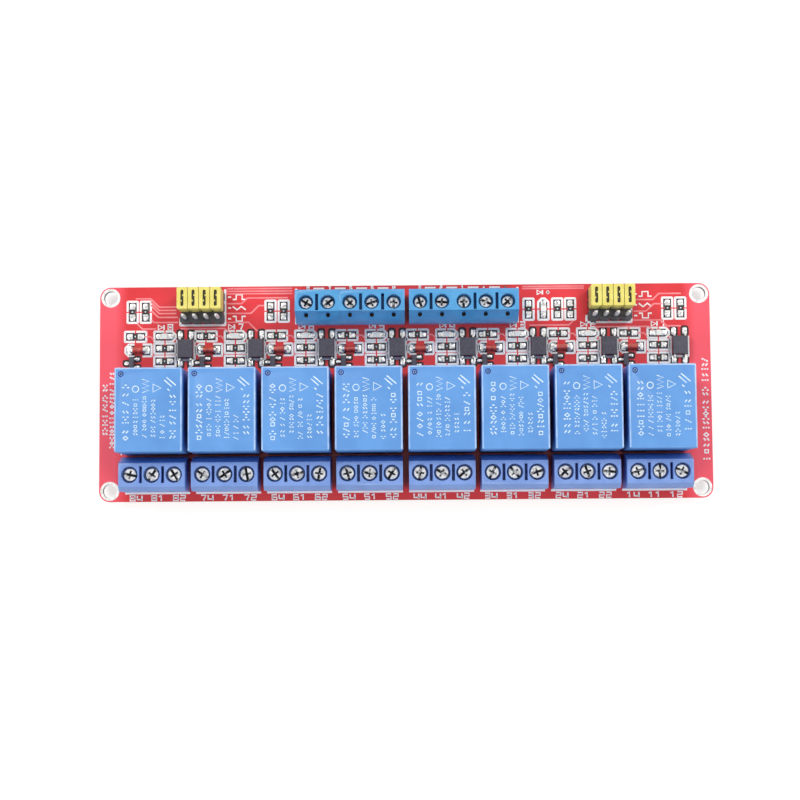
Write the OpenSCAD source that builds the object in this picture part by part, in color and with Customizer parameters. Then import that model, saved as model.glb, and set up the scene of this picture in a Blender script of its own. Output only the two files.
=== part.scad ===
// Relay module board: a printed circuit board that carries eight sealed relays,
// their screw terminals, driver parts and trigger-level jumpers.
// Millimetres. The origin is the centre of the mounting-hole pattern on the
// underside of the board. +X runs along the row of relays, +Y towards the input
// terminals and +Z up. Channel 1 is at the +X end.

/* [Board] */
// Thickness of the board
board_t = 1.6; // [1:0.2:2.4]
// Radius of the board's corners
corner_r = 2.5; // [1:0.5:4]
// Bare board beyond the outer channel at each end
end_margin = 5.4; // [5:0.1:12]
// Diameter of the mounting holes
mount_hole_d = 3.2; // [2.6:0.1:3.2]
// Distance from a mounting hole's centre to each edge
mount_inset = 2.5; // [2.5:0.1:3]
// Width of the bare metal ring round a mounting hole
mount_ring_w = 0.6; // [0.4:0.1:0.8]
// Free gap between neighbouring channels
channel_gap = 1.2; // [0.8:0.1:4]
// Depth of the strip that holds the driver parts
strip_w = 11; // [11:0.1:20]

/* [Relays] */
// Width of a relay cover along the row
relay_w = 15.2; // [15:0.1:18]
// Length of a relay cover across the row
relay_l = 19; // [18:0.5:24]
// Height of a relay cover's top above the board
relay_h = 15.5; // [12:0.5:20]
// Height of the relay cover's lower rim above the board
relay_standoff = 0.3; // [0.2:0.1:0.8]
// Thickness of the relay cover's wall
relay_wall = 0.8; // [0.6:0.1:1.2]
// Thickness of the relay's base plate
relay_base_t = 1.2; // [0.8:0.1:2]
// Radius of the relay cover's edges
relay_edge_r = 0.5; // [0.3:0.1:1]
// Diameter of the vent mark on the relay cover
vent_d = 1.35; // [1:0.05:2]
// Inset of the vent mark from the cover's sides
vent_inset = 1.5; // [1.3:0.1:3]
// Gap between the relays and the output terminals
relay_gap = 0.65; // [0.5:0.05:4]
// Inset of the common pin from the back end of the relay
common_pin_inset = 2.1; // [1.9:0.1:2.5]
// Step from the common pin to the coil pins
coil_pin_step = 2; // [1.8:0.1:3]
// Inset of the contact pins from the front end of the relay
contact_pin_inset = 2.7; // [2.2:0.1:4]
// Inset of the paired pins from the relay's sides
pair_pin_inset = 1.6; // [1.6:0.1:3]
// Width of a relay's contact pin
relay_pin_w = 1; // [0.6:0.1:1.1]
// Thickness of a relay's pin
relay_pin_t = 0.6; // [0.4:0.1:0.8]
// Reach of the relay pins below the board
relay_pin_tail = 2; // [1.6:0.1:3]

/* [Screw terminals] */
// Inset of an output terminal from the sides of its relay
terminal_inset = 0.1; // [0:0.05:0.3]
// Poles of an output terminal
out_poles = 3; // [2:1:3]
// Distance from an output terminal's screws to its wire side
out_reach = 3.75; // [3.5:0.05:4.4]
// Distance from an input terminal's screws to its wire side
in_reach = 2.95; // [2.9:0.05:3.6]
// Distance from a terminal's screws to its back
back_reach = 4.15; // [4:0.05:4.7]
// Height of a terminal
terminal_h = 10; // [9.5:0.5:14]
// Run of the sloping face above an output terminal's wire entries
out_front_slope = 1; // [0.6:0.1:1.2]
// Run of the sloping face above an input terminal's wire entries
in_front_slope = 0.15; // [0.1:0.05:0.6]
// Drop of the sloping face above the wire entries
front_drop = 1.2; // [0.6:0.1:2]
// Run of the sloping back of an output terminal
out_back_slope = 1.5; // [0.8:0.05:1.8]
// Run of the sloping back of an input terminal
in_back_slope = 2.1; // [1.8:0.05:2.2]
// Drop of the sloping back
back_drop = 4.5; // [2.5:0.5:5]
// Thickness of the front and back walls
terminal_wall = 1.2; // [1.1:0.1:1.4]
// Thickness of the wall between two poles
pole_wall = 1.2; // [1:0.1:1.6]
// Diameter of an output terminal's screw well
out_well_d = 3.75; // [3.5:0.05:3.9]
// Diameter of an input terminal's screw well
in_well_d = 3.4; // [3.1:0.05:3.7]
// Clearance round a screw head in its well
head_clear = 0.33; // [0.1:0.01:0.4]
// Depth of an output screw's head below the top
out_recess = 1.2; // [0.6:0.1:1.6]
// Depth of an input screw's head below the top
in_recess = 2; // [1:0.1:2.2]
// Thickness of a screw's head
head_t = 1.2; // [1:0.1:1.4]
// Width of the seat under a screw's head
head_seat = 0.35; // [0.3:0.05:0.5]
// Thickness of the shelf that carries a screw
shelf_t = 0.7; // [0.5:0.1:0.9]
// Width of the screw's main slot
drive_w = 0.6; // [0.4:0.05:0.8]
// Depth of the screw's main slot
drive_depth = 0.7; // [0.4:0.1:0.8]
// Width of the grooves between the poles
groove_w = 0.7; // [0.4:0.05:0.7]
// Length of the grooves between the poles
groove_l = 3.8; // [3:0.1:4.4]
// Depth of the grooves between the poles
groove_depth = 3.5; // [1:0.5:4]
// Height of the wire entry's sill above the board
sill_h = 1.5; // [1.2:0.1:1.8]
// Clearance between the entry's sides and the chamber's
entry_jamb = 0.15; // [0.1:0.05:0.4]
// Diameter of a test hole
test_hole_d = 1; // [0.8:0.05:1.1]
// Width of the dovetail's neck
dovetail_neck = 1; // [0.8:0.1:1.4]
// Flare of the dovetail on each side
dovetail_flare = 0.25; // [0.15:0.05:0.4]
// Reach of the dovetail from the side of the terminal
dovetail_l = 0.4; // [0.3:0.05:0.45]
// Wall thickness of a wire cage
cage_t = 0.5; // [0.4:0.05:0.6]
// Thickness of the contact strip
contact_t = 0.5; // [0.4:0.05:0.6]
// Diameter of a terminal's solder pin
terminal_pin_d = 1; // [0.8:0.05:1.1]
// Reach of the terminal pins below the board
terminal_pin_tail = 1.8; // [1.4:0.1:2]
// Bare board in front of the output terminals
out_front = 2.2; // [1.5:0.05:6]
// Bare board in front of the input terminals
in_front = 2.15; // [0.5:0.05:3]
// Offset of the input terminals from the middle of the board
in_centre_x = 0.5; // [-2:0.1:2]
// Gap between the two input blocks
in_block_gap = 1; // [0.6:0.1:3]

/* [Jumpers] */
// Pin pitch of the headers
header_pitch = 2.54; // [2.5:0.02:2.6]
// Height of the header's plastic
header_h = 2.54; // [2:0.02:3]
// Cut at the corners of each header cell
header_notch = 0.45; // [0.3:0.05:0.6]
// Gap between the header and the edge of the board
header_edge = 1.2; // [0.8:0.1:1.6]
// Distance of the left header's centre from the left end
header_left_inset = 24; // [22:0.1:26]
// Distance of the right header's centre from the right end
header_right_inset = 23.4; // [22:0.1:26]
// Side of a square header pin
header_pin_w = 0.64; // [0.5:0.02:0.7]
// Reach of the header pins above the plastic
header_pin_reach = 5.5; // [5:0.1:7]
// Reach of the header pins below the board
header_pin_tail = 1.4; // [1:0.1:1.8]
// Gap between neighbouring jumper caps
cap_gap = 0.14; // [0.1:0.01:0.3]
// Height of a jumper cap above the tips of its pins
cap_over_pins = 0.55; // [0.05:0.05:1]
// Wall thickness of a jumper cap
cap_wall = 0.6; // [0.4:0.05:0.6]
// Thickness of a jumper's spring clip
clip_t = 0.2; // [0.15:0.01:0.25]
// Height of a jumper cap's lower rim above its clip's foot
clip_lift = 0.5; // [0.3:0.1:1]

/* [Surface parts] */
// Length of a chip part
chip_l = 2; // [1.6:0.1:2.4]
// Width of a chip part
chip_w = 1.25; // [1:0.05:1.4]
// Height of a chip resistor
chip_h = 0.55; // [0.4:0.05:0.8]
// Length of a chip's metal ends
chip_end_l = 0.4; // [0.3:0.05:0.5]
// Thickness of a chip's metal ends
chip_end_t = 0.05; // [0.04:0.01:0.1]
// Height of a light-emitting diode
led_h = 0.9; // [0.7:0.05:1.2]
// Diameter of a diode's glass
diode_d = 1.4; // [1.2:0.05:1.6]
// Length of a diode
diode_l = 3.5; // [3.3:0.1:3.7]
// Length of a diode's metal ends
diode_end_l = 0.5; // [0.4:0.05:0.7]
// Length of the optocoupler's body across its leads
opto_l = 4.4; // [4:0.1:4.8]
// Width of the optocoupler's body
opto_w = 3.6; // [3.4:0.1:4]
// Thickness of the optocoupler's body
opto_h = 2; // [1.6:0.1:2.4]
// Length of the transistor's body
transistor_l = 2.9; // [2.7:0.05:3.1]
// Width of the transistor's body
transistor_w = 1.3; // [1.2:0.05:1.5]
// Thickness of the transistor's body
transistor_h = 1; // [0.8:0.05:1.2]
// Width of a surface part's lead
lead_w = 0.42; // [0.3:0.02:0.5]
// Thickness of a surface part's lead
lead_t = 0.16; // [0.12:0.02:0.2]

/* [Hidden] */
channels = 8;
relay_contacts = 3;  // common, normally open and normally closed

$fn = 48;
eps = 0.01;          // overshoot of a cut beyond a face
fit = 0.03;          // side clearance of pins and pressed metal parts

// Plan of the board
pole_pitch = (relay_w - 2 * terminal_inset) / relay_contacts;
channel_pitch = relay_w + channel_gap;
board_l = channels * channel_pitch + 2 * end_margin;
board_w = out_front + out_reach + back_reach + relay_gap + relay_l + strip_w
    + back_reach + in_reach + in_front;
hole_x = board_l / 2 - mount_inset;
hole_y = board_w / 2 - mount_inset;
out_y = -board_w / 2 + out_front + out_reach;
relay_y = out_y + back_reach + relay_gap + relay_l / 2;
relay_back_y = relay_y + relay_l / 2;
in_y = board_w / 2 - in_front - in_reach;
pad_t = 0.05;        // height of the mounting rings above the board
plating_t = 0.05;    // metal on the wall of a mounting hole

function channel_x(n) = ((channels + 1) / 2 - n) * channel_pitch;

// Relays
relay_fit = 0.05;    // side clearance of the base plate in its cover
foot_d = 1.4;
vent_ring_w = 0.3;
vent_depth = 0.25;
vent_pit_d = 0.45;
vent_pit_depth = 0.6;
coil_pin_w = relay_pin_t;
common_y = relay_l / 2 - common_pin_inset;
coil_y = common_y - coil_pin_step;
contact_y = -relay_l / 2 + contact_pin_inset;
pair_x = relay_w / 2 - pair_pin_inset;
// Each relay pin: x, y and width
RELAY_PINS = [
    [0, common_y, relay_pin_w],
    [-pair_x, coil_y, coil_pin_w], [pair_x, coil_y, coil_pin_w],
    [-pair_x, contact_y, relay_pin_w], [pair_x, contact_y, relay_pin_w]
];

// Screw terminals
OUT = "output";
IN = "input";
in_modules = [3, 2, 3, 2];          // poles of each input terminal, from +X to -X
in_block_w = (in_modules[0] + in_modules[1]) * pole_pitch;
in_block_x = (in_block_w + in_block_gap) / 2;
chamber_w = pole_pitch - pole_wall;
chamber_back = back_reach - terminal_wall;
cage_side_clear = 0.15;
cage_w = chamber_w - 2 * cage_side_clear;
cage_clear = 0.3;                   // running clearance round a cage
foot_clear = 0.2;                   // gap between the contact's foot and the board
cage_rest_z = foot_clear + contact_t + cage_clear;
contact_side_clear = 0.15;          // gap between the contact strip and the cage's sides
contact_w = cage_w - 2 * cage_t - 2 * contact_side_clear;
contact_back_y = chamber_back - fit;
cage_y1 = contact_back_y - contact_t - cage_clear;
tongue_clear = 0.3;
cross_w = 0.45;
cross_l_share = 0.62;               // length of the short cross slot to the head
head_chamfer = 0.2;
entry_lip = 0.2;                    // widening of the entry at the face
entry_lip_depth = 0.4;
entry_corner_r = 0.5;
test_hole_run = 0.7;                // from the top's back edge to a test hole

function reach(kind) = kind == OUT ? out_reach : in_reach;
function front_slope(kind) = kind == OUT ? out_front_slope : in_front_slope;
function chamber_front(kind) = reach(kind) - terminal_wall;
function cage_y0(kind) = -chamber_front(kind) + cage_clear;
function well_d(kind) = kind == OUT ? out_well_d : in_well_d;
function head_d(kind) = well_d(kind) - 2 * head_clear;
function shank_d(kind) = head_d(kind) - 2 * head_seat;
function recess(kind) = kind == OUT ? out_recess : in_recess;
function back_slope(kind) = kind == OUT ? out_back_slope : in_back_slope;
function seat_z(kind) = terminal_h - recess(kind) - head_t;
function chamber_z(kind) = seat_z(kind) - shelf_t;
function cage_top_z(kind) = chamber_z(kind) - cage_clear;
function tongue_z(kind) = cage_top_z(kind) - cage_t - tongue_clear;
function pole_x(i, poles) = (i - (poles - 1) / 2) * pole_pitch;

// Middle of input terminal n, counted from +X: 3, 2, 3 and 2 poles
function in_x(n) =
    let (block = n <= 2 ? in_block_x : -in_block_x,
         side = n % 2 == 1 ? 1 : -1,
         other = n % 2 == 1 ? in_modules[n] : in_modules[n - 2])
    in_centre_x + block + side * other * pole_pitch / 2;

// Jumpers
header_cols = 4;
header_rows = 3;
header_y = board_w / 2 - header_edge - header_rows * header_pitch / 2;
header_left_x = -board_l / 2 + header_left_inset;
header_right_x = board_l / 2 - header_right_inset;
pin_tip_h = 0.5;
pin_tip_w = 0.3;
cap_w = header_pitch - cap_gap;
cap_l = 2 * header_pitch - cap_gap;
cap_y = header_y + header_pitch / 2;
cap_h = header_pin_reach + cap_over_pins;
cap_seat_gap = 0.05;                // gap between a seated cap and the header
cap_corner = 0.25;
window_w = 0.7;
window_over = 1.2;                  // of the window beyond the pins' pitch
window_l = header_pitch + window_over;
cap_roof = 0.9;
clip_clear = 0.05;                  // gap between a clip's leaf and a pin
clip_l = cap_l - 2 * cap_wall - 2 * fit;
clip_bridge_clear = 0.25;           // gap between the clip's bridge and a pin
clip_bridge_l = header_pitch - header_pin_w - 2 * clip_bridge_clear;
clip_leaf_x = header_pin_w / 2 + clip_clear;
clip_top_gap = 0.1;

// Position of jumper n: channels 1 to 4 sit on the right header
function jumper_x(n) =
    let (column = (n - 1) % header_cols,
         header = n <= header_cols ? header_right_x : header_left_x)
    header + ((header_cols - 1) / 2 - column) * header_pitch;

// Surface parts: columns from the middle of the channel, whose sides are half a pitch away
channel_side = channel_pitch / 2;
resistor_inset = 2.9;
diode_inset = 3.6;
transistor_inset = 2.1;
middle_shift = 1.55;
opto_x = channel_side - opto_w / 2;
// Rows from the back of the relay
row_start = 2.65;
row_step = 3;
row_shift = 0.2;                    // of the middle column's lower parts
row_1 = relay_back_y + row_start;
row_2 = row_1 + row_step;
row_3 = row_2 + row_step;
CELL_RESISTORS = [
    [resistor_inset - channel_side, row_3],
    [middle_shift, row_2 + row_shift], [middle_shift, row_1 + row_shift]
];
CELL_LED = [middle_shift, row_3];
CELL_DIODE = [diode_inset - channel_side, row_2 - row_shift];
CELL_TRANSISTOR = [transistor_inset - channel_side, row_1 - row_shift];
CELL_OPTO = [opto_x, row_2];
// Upright resistors beside the headers and the input terminals
upright_pitch = 3.05;
upright_left = 7.6;                 // outer pair from the left end of the board
upright_right = 6.8;                // outer pair from the right end of the board
upright_gap = 3.2;                  // inner pair from the left input terminal
side_drop = 0.75;                   // of the upright parts below the input screws
side_y = in_y - side_drop;
in_left_x = in_centre_x - in_block_gap / 2 - in_block_w;
in_right_x = in_centre_x + in_block_gap / 2 + in_block_w;
// Four parts share the room between the right input terminal and the right header
side_room = header_right_x - header_cols * header_pitch / 2 - in_right_x;
SIDE_SHARES = [0.173, 0.381, 0.578, 0.76];
function side_x(i) = in_right_x + SIDE_SHARES[i] * side_room;
UPRIGHT_X = [
    -board_l / 2 + upright_left, -board_l / 2 + upright_left + upright_pitch,
    in_left_x - upright_gap - upright_pitch, in_left_x - upright_gap,
    side_x(0), side_x(2), side_x(3),
    board_l / 2 - upright_right - upright_pitch, board_l / 2 - upright_right
];
POWER_LED = [side_x(1), side_y];
led_base_h = 0.3;
led_lens_l = 1.3;
led_lens_draft = 0.12;
body_lift = 0.1;                    // gap under a moulded body
mould_draft = 0.15;
opto_span = 7;                      // over the ends of the leads
opto_lead_pitch = 2.54;
opto_mark_d = 0.7;
opto_mark_inset = 0.7;
opto_mark_depth = 0.1;
transistor_span = 2.4;
transistor_lead_pitch = 1.9;

// Soldered holes
solder_h = 1;
solder_top_share = 0.5;             // cone's tip radius to its base radius
hole_clear = 0.3;                   // drilled hole beyond the pin
solder_flow = 0.45;                 // solder beyond the drilled hole

// ---------- shared shapes ----------

// Rectangle with round corners
module rounded_outline(l, w, r) {
    square([l - 2 * r, w], center = true);
    square([l, w - 2 * r], center = true);
    for (x = [-1, 1], y = [-1, 1])
        translate([x * (l / 2 - r), y * (w / 2 - r)]) circle(r);
}

// Rectangle that stands on its base, with round upper corners
module arched_outline(l, h, r) {
    translate([-l / 2, 0]) square([l, h - r]);
    translate([-l / 2 + r, 0]) square([l - 2 * r, h]);
    for (x = [-1, 1]) translate([x * (l / 2 - r), h - r]) circle(r);
}

// Moulded block with round upright and upper edges
module moulded_block(l, w, h, r) {
    intersection() {
        linear_extrude(h) rounded_outline(l, w, r);
        rotate([90, 0, 0]) linear_extrude(w + 2 * eps, center = true)
            arched_outline(l, h, r);
        rotate([90, 0, 90]) linear_extrude(l + 2 * eps, center = true)
            arched_outline(w, h, r);
    }
}

// Upright profile in X and Z, extruded along Y by l
module along_y(l) {
    rotate([90, 0, 0]) linear_extrude(l, center = true) children();
}

// Upright profile in Y and Z, extruded along X by l
module along_x(l) {
    rotate([90, 0, 90]) linear_extrude(l, center = true) children();
}

// Box centred in X and Y that stands on z = 0
module post(l, w, h) {
    translate([-l / 2, -w / 2, 0]) cube([l, w, h]);
}

module at_channels() {
    for (n = [1:channels]) translate([channel_x(n), 0, 0]) children();
}

module on_board() {
    translate([0, 0, board_t]) children();
}

// ---------- places of the soldered pins ----------

module at_out_poles() {
    for (n = [1:channels], i = [0:out_poles - 1])
        translate([channel_x(n) + pole_x(i, out_poles), out_y, 0]) children();
}

module at_in_poles() {
    for (n = [1:4], i = [0:in_modules[n - 1] - 1])
        translate([in_x(n) + pole_x(i, in_modules[n - 1]), in_y, 0])
            rotate(180) children();
}

module at_header_pins() {
    for (x = [header_left_x, header_right_x], i = [0:header_cols - 1], j = [0:header_rows - 1])
        translate([x + (i - (header_cols - 1) / 2) * header_pitch,
                   header_y + (j - (header_rows - 1) / 2) * header_pitch, 0]) children();
}

module at_mounts() {
    for (x = [-hole_x, hole_x], y = [-hole_y, hole_y]) translate([x, y, 0]) children();
}

// ---------- board ----------

module drilled_hole(pin_d) {
    translate([0, 0, -eps]) cylinder(d = pin_d + 2 * hole_clear, h = board_t + 2 * eps);
}

module pcb() {
    color([0.78, 0.13, 0.16]) difference() {
        linear_extrude(board_t) rounded_outline(board_l, board_w, corner_r);
        at_mounts() drilled_hole(mount_hole_d + 2 * plating_t - 2 * hole_clear);
        at_out_poles() drilled_hole(terminal_pin_d);
        at_in_poles() drilled_hole(terminal_pin_d);
        at_header_pins() drilled_hole(header_pin_w);
        at_channels() for (p = RELAY_PINS)
            translate([p[0], relay_y + p[1], 0]) drilled_hole(p[2]);
    }
}

// Tinned mounting holes: a ring on each face, joined by plating through the board
module mounting_pads() {
    color("gainsboro") at_mounts() difference() {
        union() {
            for (z = [-pad_t, board_t])
                translate([0, 0, z]) cylinder(d = mount_hole_d + 2 * mount_ring_w, h = pad_t);
            translate([0, 0, -pad_t])
                cylinder(d = mount_hole_d + 2 * plating_t, h = board_t + 2 * pad_t);
        }
        translate([0, 0, -pad_t - eps]) cylinder(d = mount_hole_d, h = board_t + 2 * pad_t + 2 * eps);
    }
}

// ---------- relays ----------

module relay_cover(n) {
    vent = [-relay_w / 2 + vent_inset, relay_l / 2 - vent_inset];
    pocket = [relay_w - 2 * relay_wall, relay_l - 2 * relay_wall];
    color([0.25, 0.52, 0.86]) on_board() translate([channel_x(n), relay_y, 0]) difference() {
        translate([0, 0, relay_standoff])
            moulded_block(relay_w, relay_l, relay_h - relay_standoff, relay_edge_r);
        translate([0, 0, relay_standoff - eps]) post(pocket[0], pocket[1], relay_base_t + eps);
        translate([vent[0], vent[1], relay_h - vent_depth]) difference() {
            cylinder(d = vent_d, h = vent_depth + eps);
            translate([0, 0, -eps]) cylinder(d = vent_d - 2 * vent_ring_w, h = vent_depth + 3 * eps);
        }
        translate([vent[0], vent[1], relay_h - vent_pit_depth])
            cylinder(d = vent_pit_d, h = vent_pit_depth + eps);
    }
}

module relay_bases() {
    l = relay_w - 2 * (relay_wall + relay_fit);
    w = relay_l - 2 * (relay_wall + relay_fit);
    color([0.12, 0.16, 0.3]) on_board() at_channels() translate([0, relay_y, 0]) difference() {
        union() {
            translate([0, 0, relay_standoff]) post(l, w, relay_base_t);
            for (x = [-1, 1], y = [-1, 1])
                translate([x * (l - foot_d) / 2, y * (w - foot_d) / 2, 0])
                    cylinder(d = foot_d, h = relay_standoff + eps);
        }
        for (p = RELAY_PINS) translate([p[0], p[1], 0])
            post(p[2] + 2 * fit, relay_pin_t + 2 * fit, relay_standoff + relay_base_t + eps);
    }
}

module relay_pins() {
    h = relay_pin_tail + board_t + relay_standoff + relay_base_t;
    color("silver") at_channels() for (p = RELAY_PINS)
        translate([p[0], relay_y + p[1], -relay_pin_tail]) post(p[2], relay_pin_t, h);
}

// ---------- screw terminals ----------

// Side profile, with the wire side towards -Y
module terminal_profile(kind) {
    f = -reach(kind);
    b = back_reach;
    polygon([
        [f, 0], [b, 0], [b, terminal_h - back_drop], [b - back_slope(kind), terminal_h],
        [f + front_slope(kind), terminal_h], [f, terminal_h - front_drop]
    ]);
}

module dovetail_outline(grow) {
    w = dovetail_neck / 2 + grow;
    polygon([
        [eps, -w], [eps, w], [-dovetail_l - grow, w + dovetail_flare],
        [-dovetail_l - grow, -w - dovetail_flare]
    ]);
}

// Everything cut out for one pole: screw well, shelf bore, chamber, wire entry
module pole_cut(kind) {
    entry_w = chamber_w - 2 * entry_jamb;
    entry_top = tongue_z(kind) - entry_lip;
    entry_h = entry_top - sill_h;
    entry_z = (entry_top + sill_h) / 2;
    face_y = -reach(kind);
    translate([0, 0, seat_z(kind)]) cylinder(d = well_d(kind), h = terminal_h);
    translate([0, 0, chamber_z(kind) - eps])
        cylinder(d = shank_d(kind) + head_clear, h = shelf_t + 2 * eps);
    translate([0, (chamber_back - chamber_front(kind)) / 2, -eps])
        post(chamber_w, chamber_front(kind) + chamber_back, chamber_z(kind) + eps);
    translate([0, face_y + terminal_wall / 2, entry_z]) along_y(terminal_wall + 2 * eps)
        rounded_outline(entry_w, entry_h, entry_corner_r);
    translate([0, face_y + entry_lip_depth / 2 - eps, entry_z]) along_y(entry_lip_depth + eps)
        rounded_outline(entry_w + entry_lip, entry_h + 2 * entry_lip, entry_corner_r);
}

// Hole in the sloping back, down to the contact strip
module test_hole(kind) {
    translate([0, back_reach - back_slope(kind) + test_hole_run, tongue_z(kind)])
        cylinder(d = test_hole_d, h = terminal_h);
}

// Housing with its wire side towards -Y. Grooves lie between the poles, and the
// sides hook into a neighbour with a dovetail rib at -X and its groove at +X.
module terminal_housing(kind, poles, rib = false, slot = false) {
    w = poles * pole_pitch;
    difference() {
        union() {
            along_x(w) terminal_profile(kind);
            if (rib) translate([-w / 2, 0, 0]) linear_extrude(terminal_h - back_drop)
                dovetail_outline(0);
        }
        for (i = [0:poles - 1]) translate([pole_x(i, poles), 0, 0]) {
            pole_cut(kind);
            if (kind == IN) test_hole(kind);
        }
        if (poles > 1) for (i = [1:poles - 1])
            translate([-w / 2 + i * pole_pitch, 0, terminal_h - groove_depth])
                post(groove_w, groove_l, groove_depth + eps);
        if (slot) translate([w / 2, 0, -eps]) linear_extrude(terminal_h - back_drop + fit)
            dovetail_outline(fit);
    }
}

module output_terminal(n) {
    color([0.2, 0.42, 0.82]) on_board() translate([channel_x(n), out_y, 0])
        terminal_housing(OUT, out_poles);
}

module input_terminal(n) {
    inner = n % 2 == 1;
    color([0.28, 0.66, 0.9]) on_board() translate([in_x(n), in_y, 0]) rotate(180)
        terminal_housing(IN, in_modules[n - 1], rib = !inner, slot = inner);
}

// Round-headed screw with one long and one short slot, turned by its own angle
module clamp_screw(kind, turn) {
    d = head_d(kind);
    tip_z = tongue_z(kind) + fit;
    translate([0, 0, tip_z]) cylinder(d = shank_d(kind), h = seat_z(kind) - tip_z + eps);
    translate([0, 0, seat_z(kind)]) rotate(turn) difference() {
        union() {
            cylinder(d = d, h = head_t - head_chamfer);
            translate([0, 0, head_t - head_chamfer])
                cylinder(d1 = d, d2 = d - 2 * head_chamfer, h = head_chamfer);
        }
        translate([0, 0, head_t - drive_depth]) {
            post(d + eps, drive_w, drive_depth + eps);
            post(cross_w, d * cross_l_share, drive_depth + eps);
        }
    }
}

// A different angle for each screw, as they come from the bench
function screw_turn(i) = (i * 67) % 180;

module output_screws() {
    color("silver") on_board() for (n = [1:channels], i = [0:out_poles - 1])
        translate([channel_x(n) + pole_x(i, out_poles), out_y, 0])
            clamp_screw(OUT, screw_turn(n * out_poles + i));
}

module input_screws() {
    color("silver") on_board() for (n = [1:4], i = [0:in_modules[n - 1] - 1])
        translate([in_x(n) + pole_x(i, in_modules[n - 1]), in_y, 0])
            clamp_screw(IN, screw_turn(n * out_poles + i + 1));
}

// Square tube that lifts a wire against the contact
module wire_cage(kind) {
    h = cage_top_z(kind) - cage_rest_z;
    l = cage_y1 - cage_y0(kind);
    middle_y = (cage_y0(kind) + cage_y1) / 2;
    translate([0, middle_y, cage_rest_z]) difference() {
        post(cage_w, l, h);
        translate([0, 0, cage_t]) post(cage_w - 2 * cage_t, l + 2 * eps, h - 2 * cage_t);
        translate([0, -middle_y, h - cage_t - eps])
            cylinder(d = shank_d(kind) + 2 * fit, h = cage_t + 2 * eps);
    }
}

module wire_cages() {
    color([0.75, 0.75, 0.7]) on_board() {
        at_out_poles() wire_cage(OUT);
        at_in_poles() wire_cage(IN);
    }
}

// Bent contact strip: foot under the cage, riser behind it, tongue through it
module contact_strip(kind) {
    z0 = foot_clear;
    z1 = tongue_z(kind);
    t = contact_t;
    b = contact_back_y;
    f = -terminal_pin_d;
    tip = cage_y0(kind);
    along_x(contact_w) polygon([
        [f, z0], [b, z0], [b, z1], [tip, z1], [tip, z1 - t],
        [b - t, z1 - t], [b - t, z0 + t], [f, z0 + t]
    ]);
    translate([0, 0, -board_t - terminal_pin_tail])
        cylinder(d = terminal_pin_d, h = board_t + terminal_pin_tail + foot_clear + contact_t / 2);
}

module terminal_pins() {
    color("silver") on_board() {
        at_out_poles() contact_strip(OUT);
        at_in_poles() contact_strip(IN);
    }
}

// ---------- headers and jumpers ----------

module header_cell() {
    a = header_pitch / 2;
    b = a - header_notch;
    polygon([[a, b], [b, a], [-b, a], [-a, b], [-a, -b], [-b, -a], [b, -a], [a, -b]]);
}

module pin_header(x) {
    cols = (header_cols - 1) / 2;
    rows = (header_rows - 1) / 2;
    color([0.13, 0.13, 0.15]) on_board() translate([x, header_y, 0]) linear_extrude(header_h)
        difference() {
            union() {
                square([2 * cols * header_pitch, 2 * rows * header_pitch], center = true);
                for (i = [-cols:cols], j = [-rows:rows])
                    translate([i, j] * header_pitch) header_cell();
            }
            for (i = [-cols:cols], j = [-rows:rows])
                translate([i, j] * header_pitch) square(header_pin_w + 2 * fit, center = true);
        }
}

// Square pin with a four-sided tip at each end
module header_pin() {
    z0 = -header_pin_tail;
    z1 = board_t + header_h + header_pin_reach;
    a = header_pin_w / 2;
    b = pin_tip_w / 2;
    profile = [
        [-b, z0], [b, z0], [a, z0 + pin_tip_h], [a, z1 - pin_tip_h], [b, z1], [-b, z1],
        [-a, z1 - pin_tip_h], [-a, z0 + pin_tip_h]
    ];
    intersection() {
        along_y(header_pin_w) polygon(profile);
        along_x(header_pin_w) polygon(profile);
    }
}

module header_pins() {
    color([0.85, 0.75, 0.4]) at_header_pins() header_pin();
}

module jumper_place(n) {
    translate([jumper_x(n), cap_y, header_h + cap_seat_gap]) children();
}

module jumper_cap(n) {
    h = cap_h;
    cavity = [cap_w - 2 * cap_wall, cap_l - 2 * cap_wall];
    color([0.95, 0.9, 0.35]) on_board() jumper_place(n) difference() {
        linear_extrude(h) rounded_outline(cap_w, cap_l, cap_corner);
        translate([0, 0, -eps]) post(cavity[0], cavity[1], h - cap_roof + eps);
        translate([0, 0, h / 2]) linear_extrude(h)
            rounded_outline(window_w, window_l, window_w / 2 - eps);
    }
}

// Two spring leaves joined by a bridge between the pins
module jumper_clip(n) {
    top = cap_h - cap_roof - clip_top_gap;
    color([0.8, 0.65, 0.35]) on_board() jumper_place(n) {
        for (side = [-1, 1])
            translate([side * (clip_leaf_x + clip_t / 2), 0, clip_lift])
                post(clip_t, clip_l, top - clip_lift);
        translate([0, 0, top - clip_t])
            post(2 * clip_leaf_x + eps, clip_bridge_l, clip_t);
    }
}

// ---------- surface parts ----------

module at_resistors() {
    at_channels() for (p = CELL_RESISTORS) translate(p) children();
    for (x = UPRIGHT_X) translate([x, side_y]) rotate(90) children();
}

module at_leds() {
    at_channels() translate(CELL_LED) children();
    translate(POWER_LED) rotate(90) children();
}

module chip_body(h) {
    translate([0, 0, chip_end_t])
        post(chip_l - 2 * chip_end_t, chip_w, h - 2 * chip_end_t);
}

// Metal caps that wrap the top, the end and the underside of a chip
module chip_ends(h) {
    for (side = [-1, 1]) difference() {
        translate([side * (chip_l - chip_end_l) / 2, 0, 0]) post(chip_end_l, chip_w, h);
        translate([0, 0, chip_end_t])
            post(chip_l - 2 * chip_end_t, chip_w + 2 * eps, h - 2 * chip_end_t);
    }
}

module resistor_bodies() {
    color([0.15, 0.15, 0.17]) on_board() at_resistors() chip_body(chip_h);
}

module resistor_ends() {
    color("silver") on_board() at_resistors() chip_ends(chip_h);
}

module led_bases() {
    color([0.9, 0.88, 0.8]) on_board() at_leds() chip_body(led_base_h);
}

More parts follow.
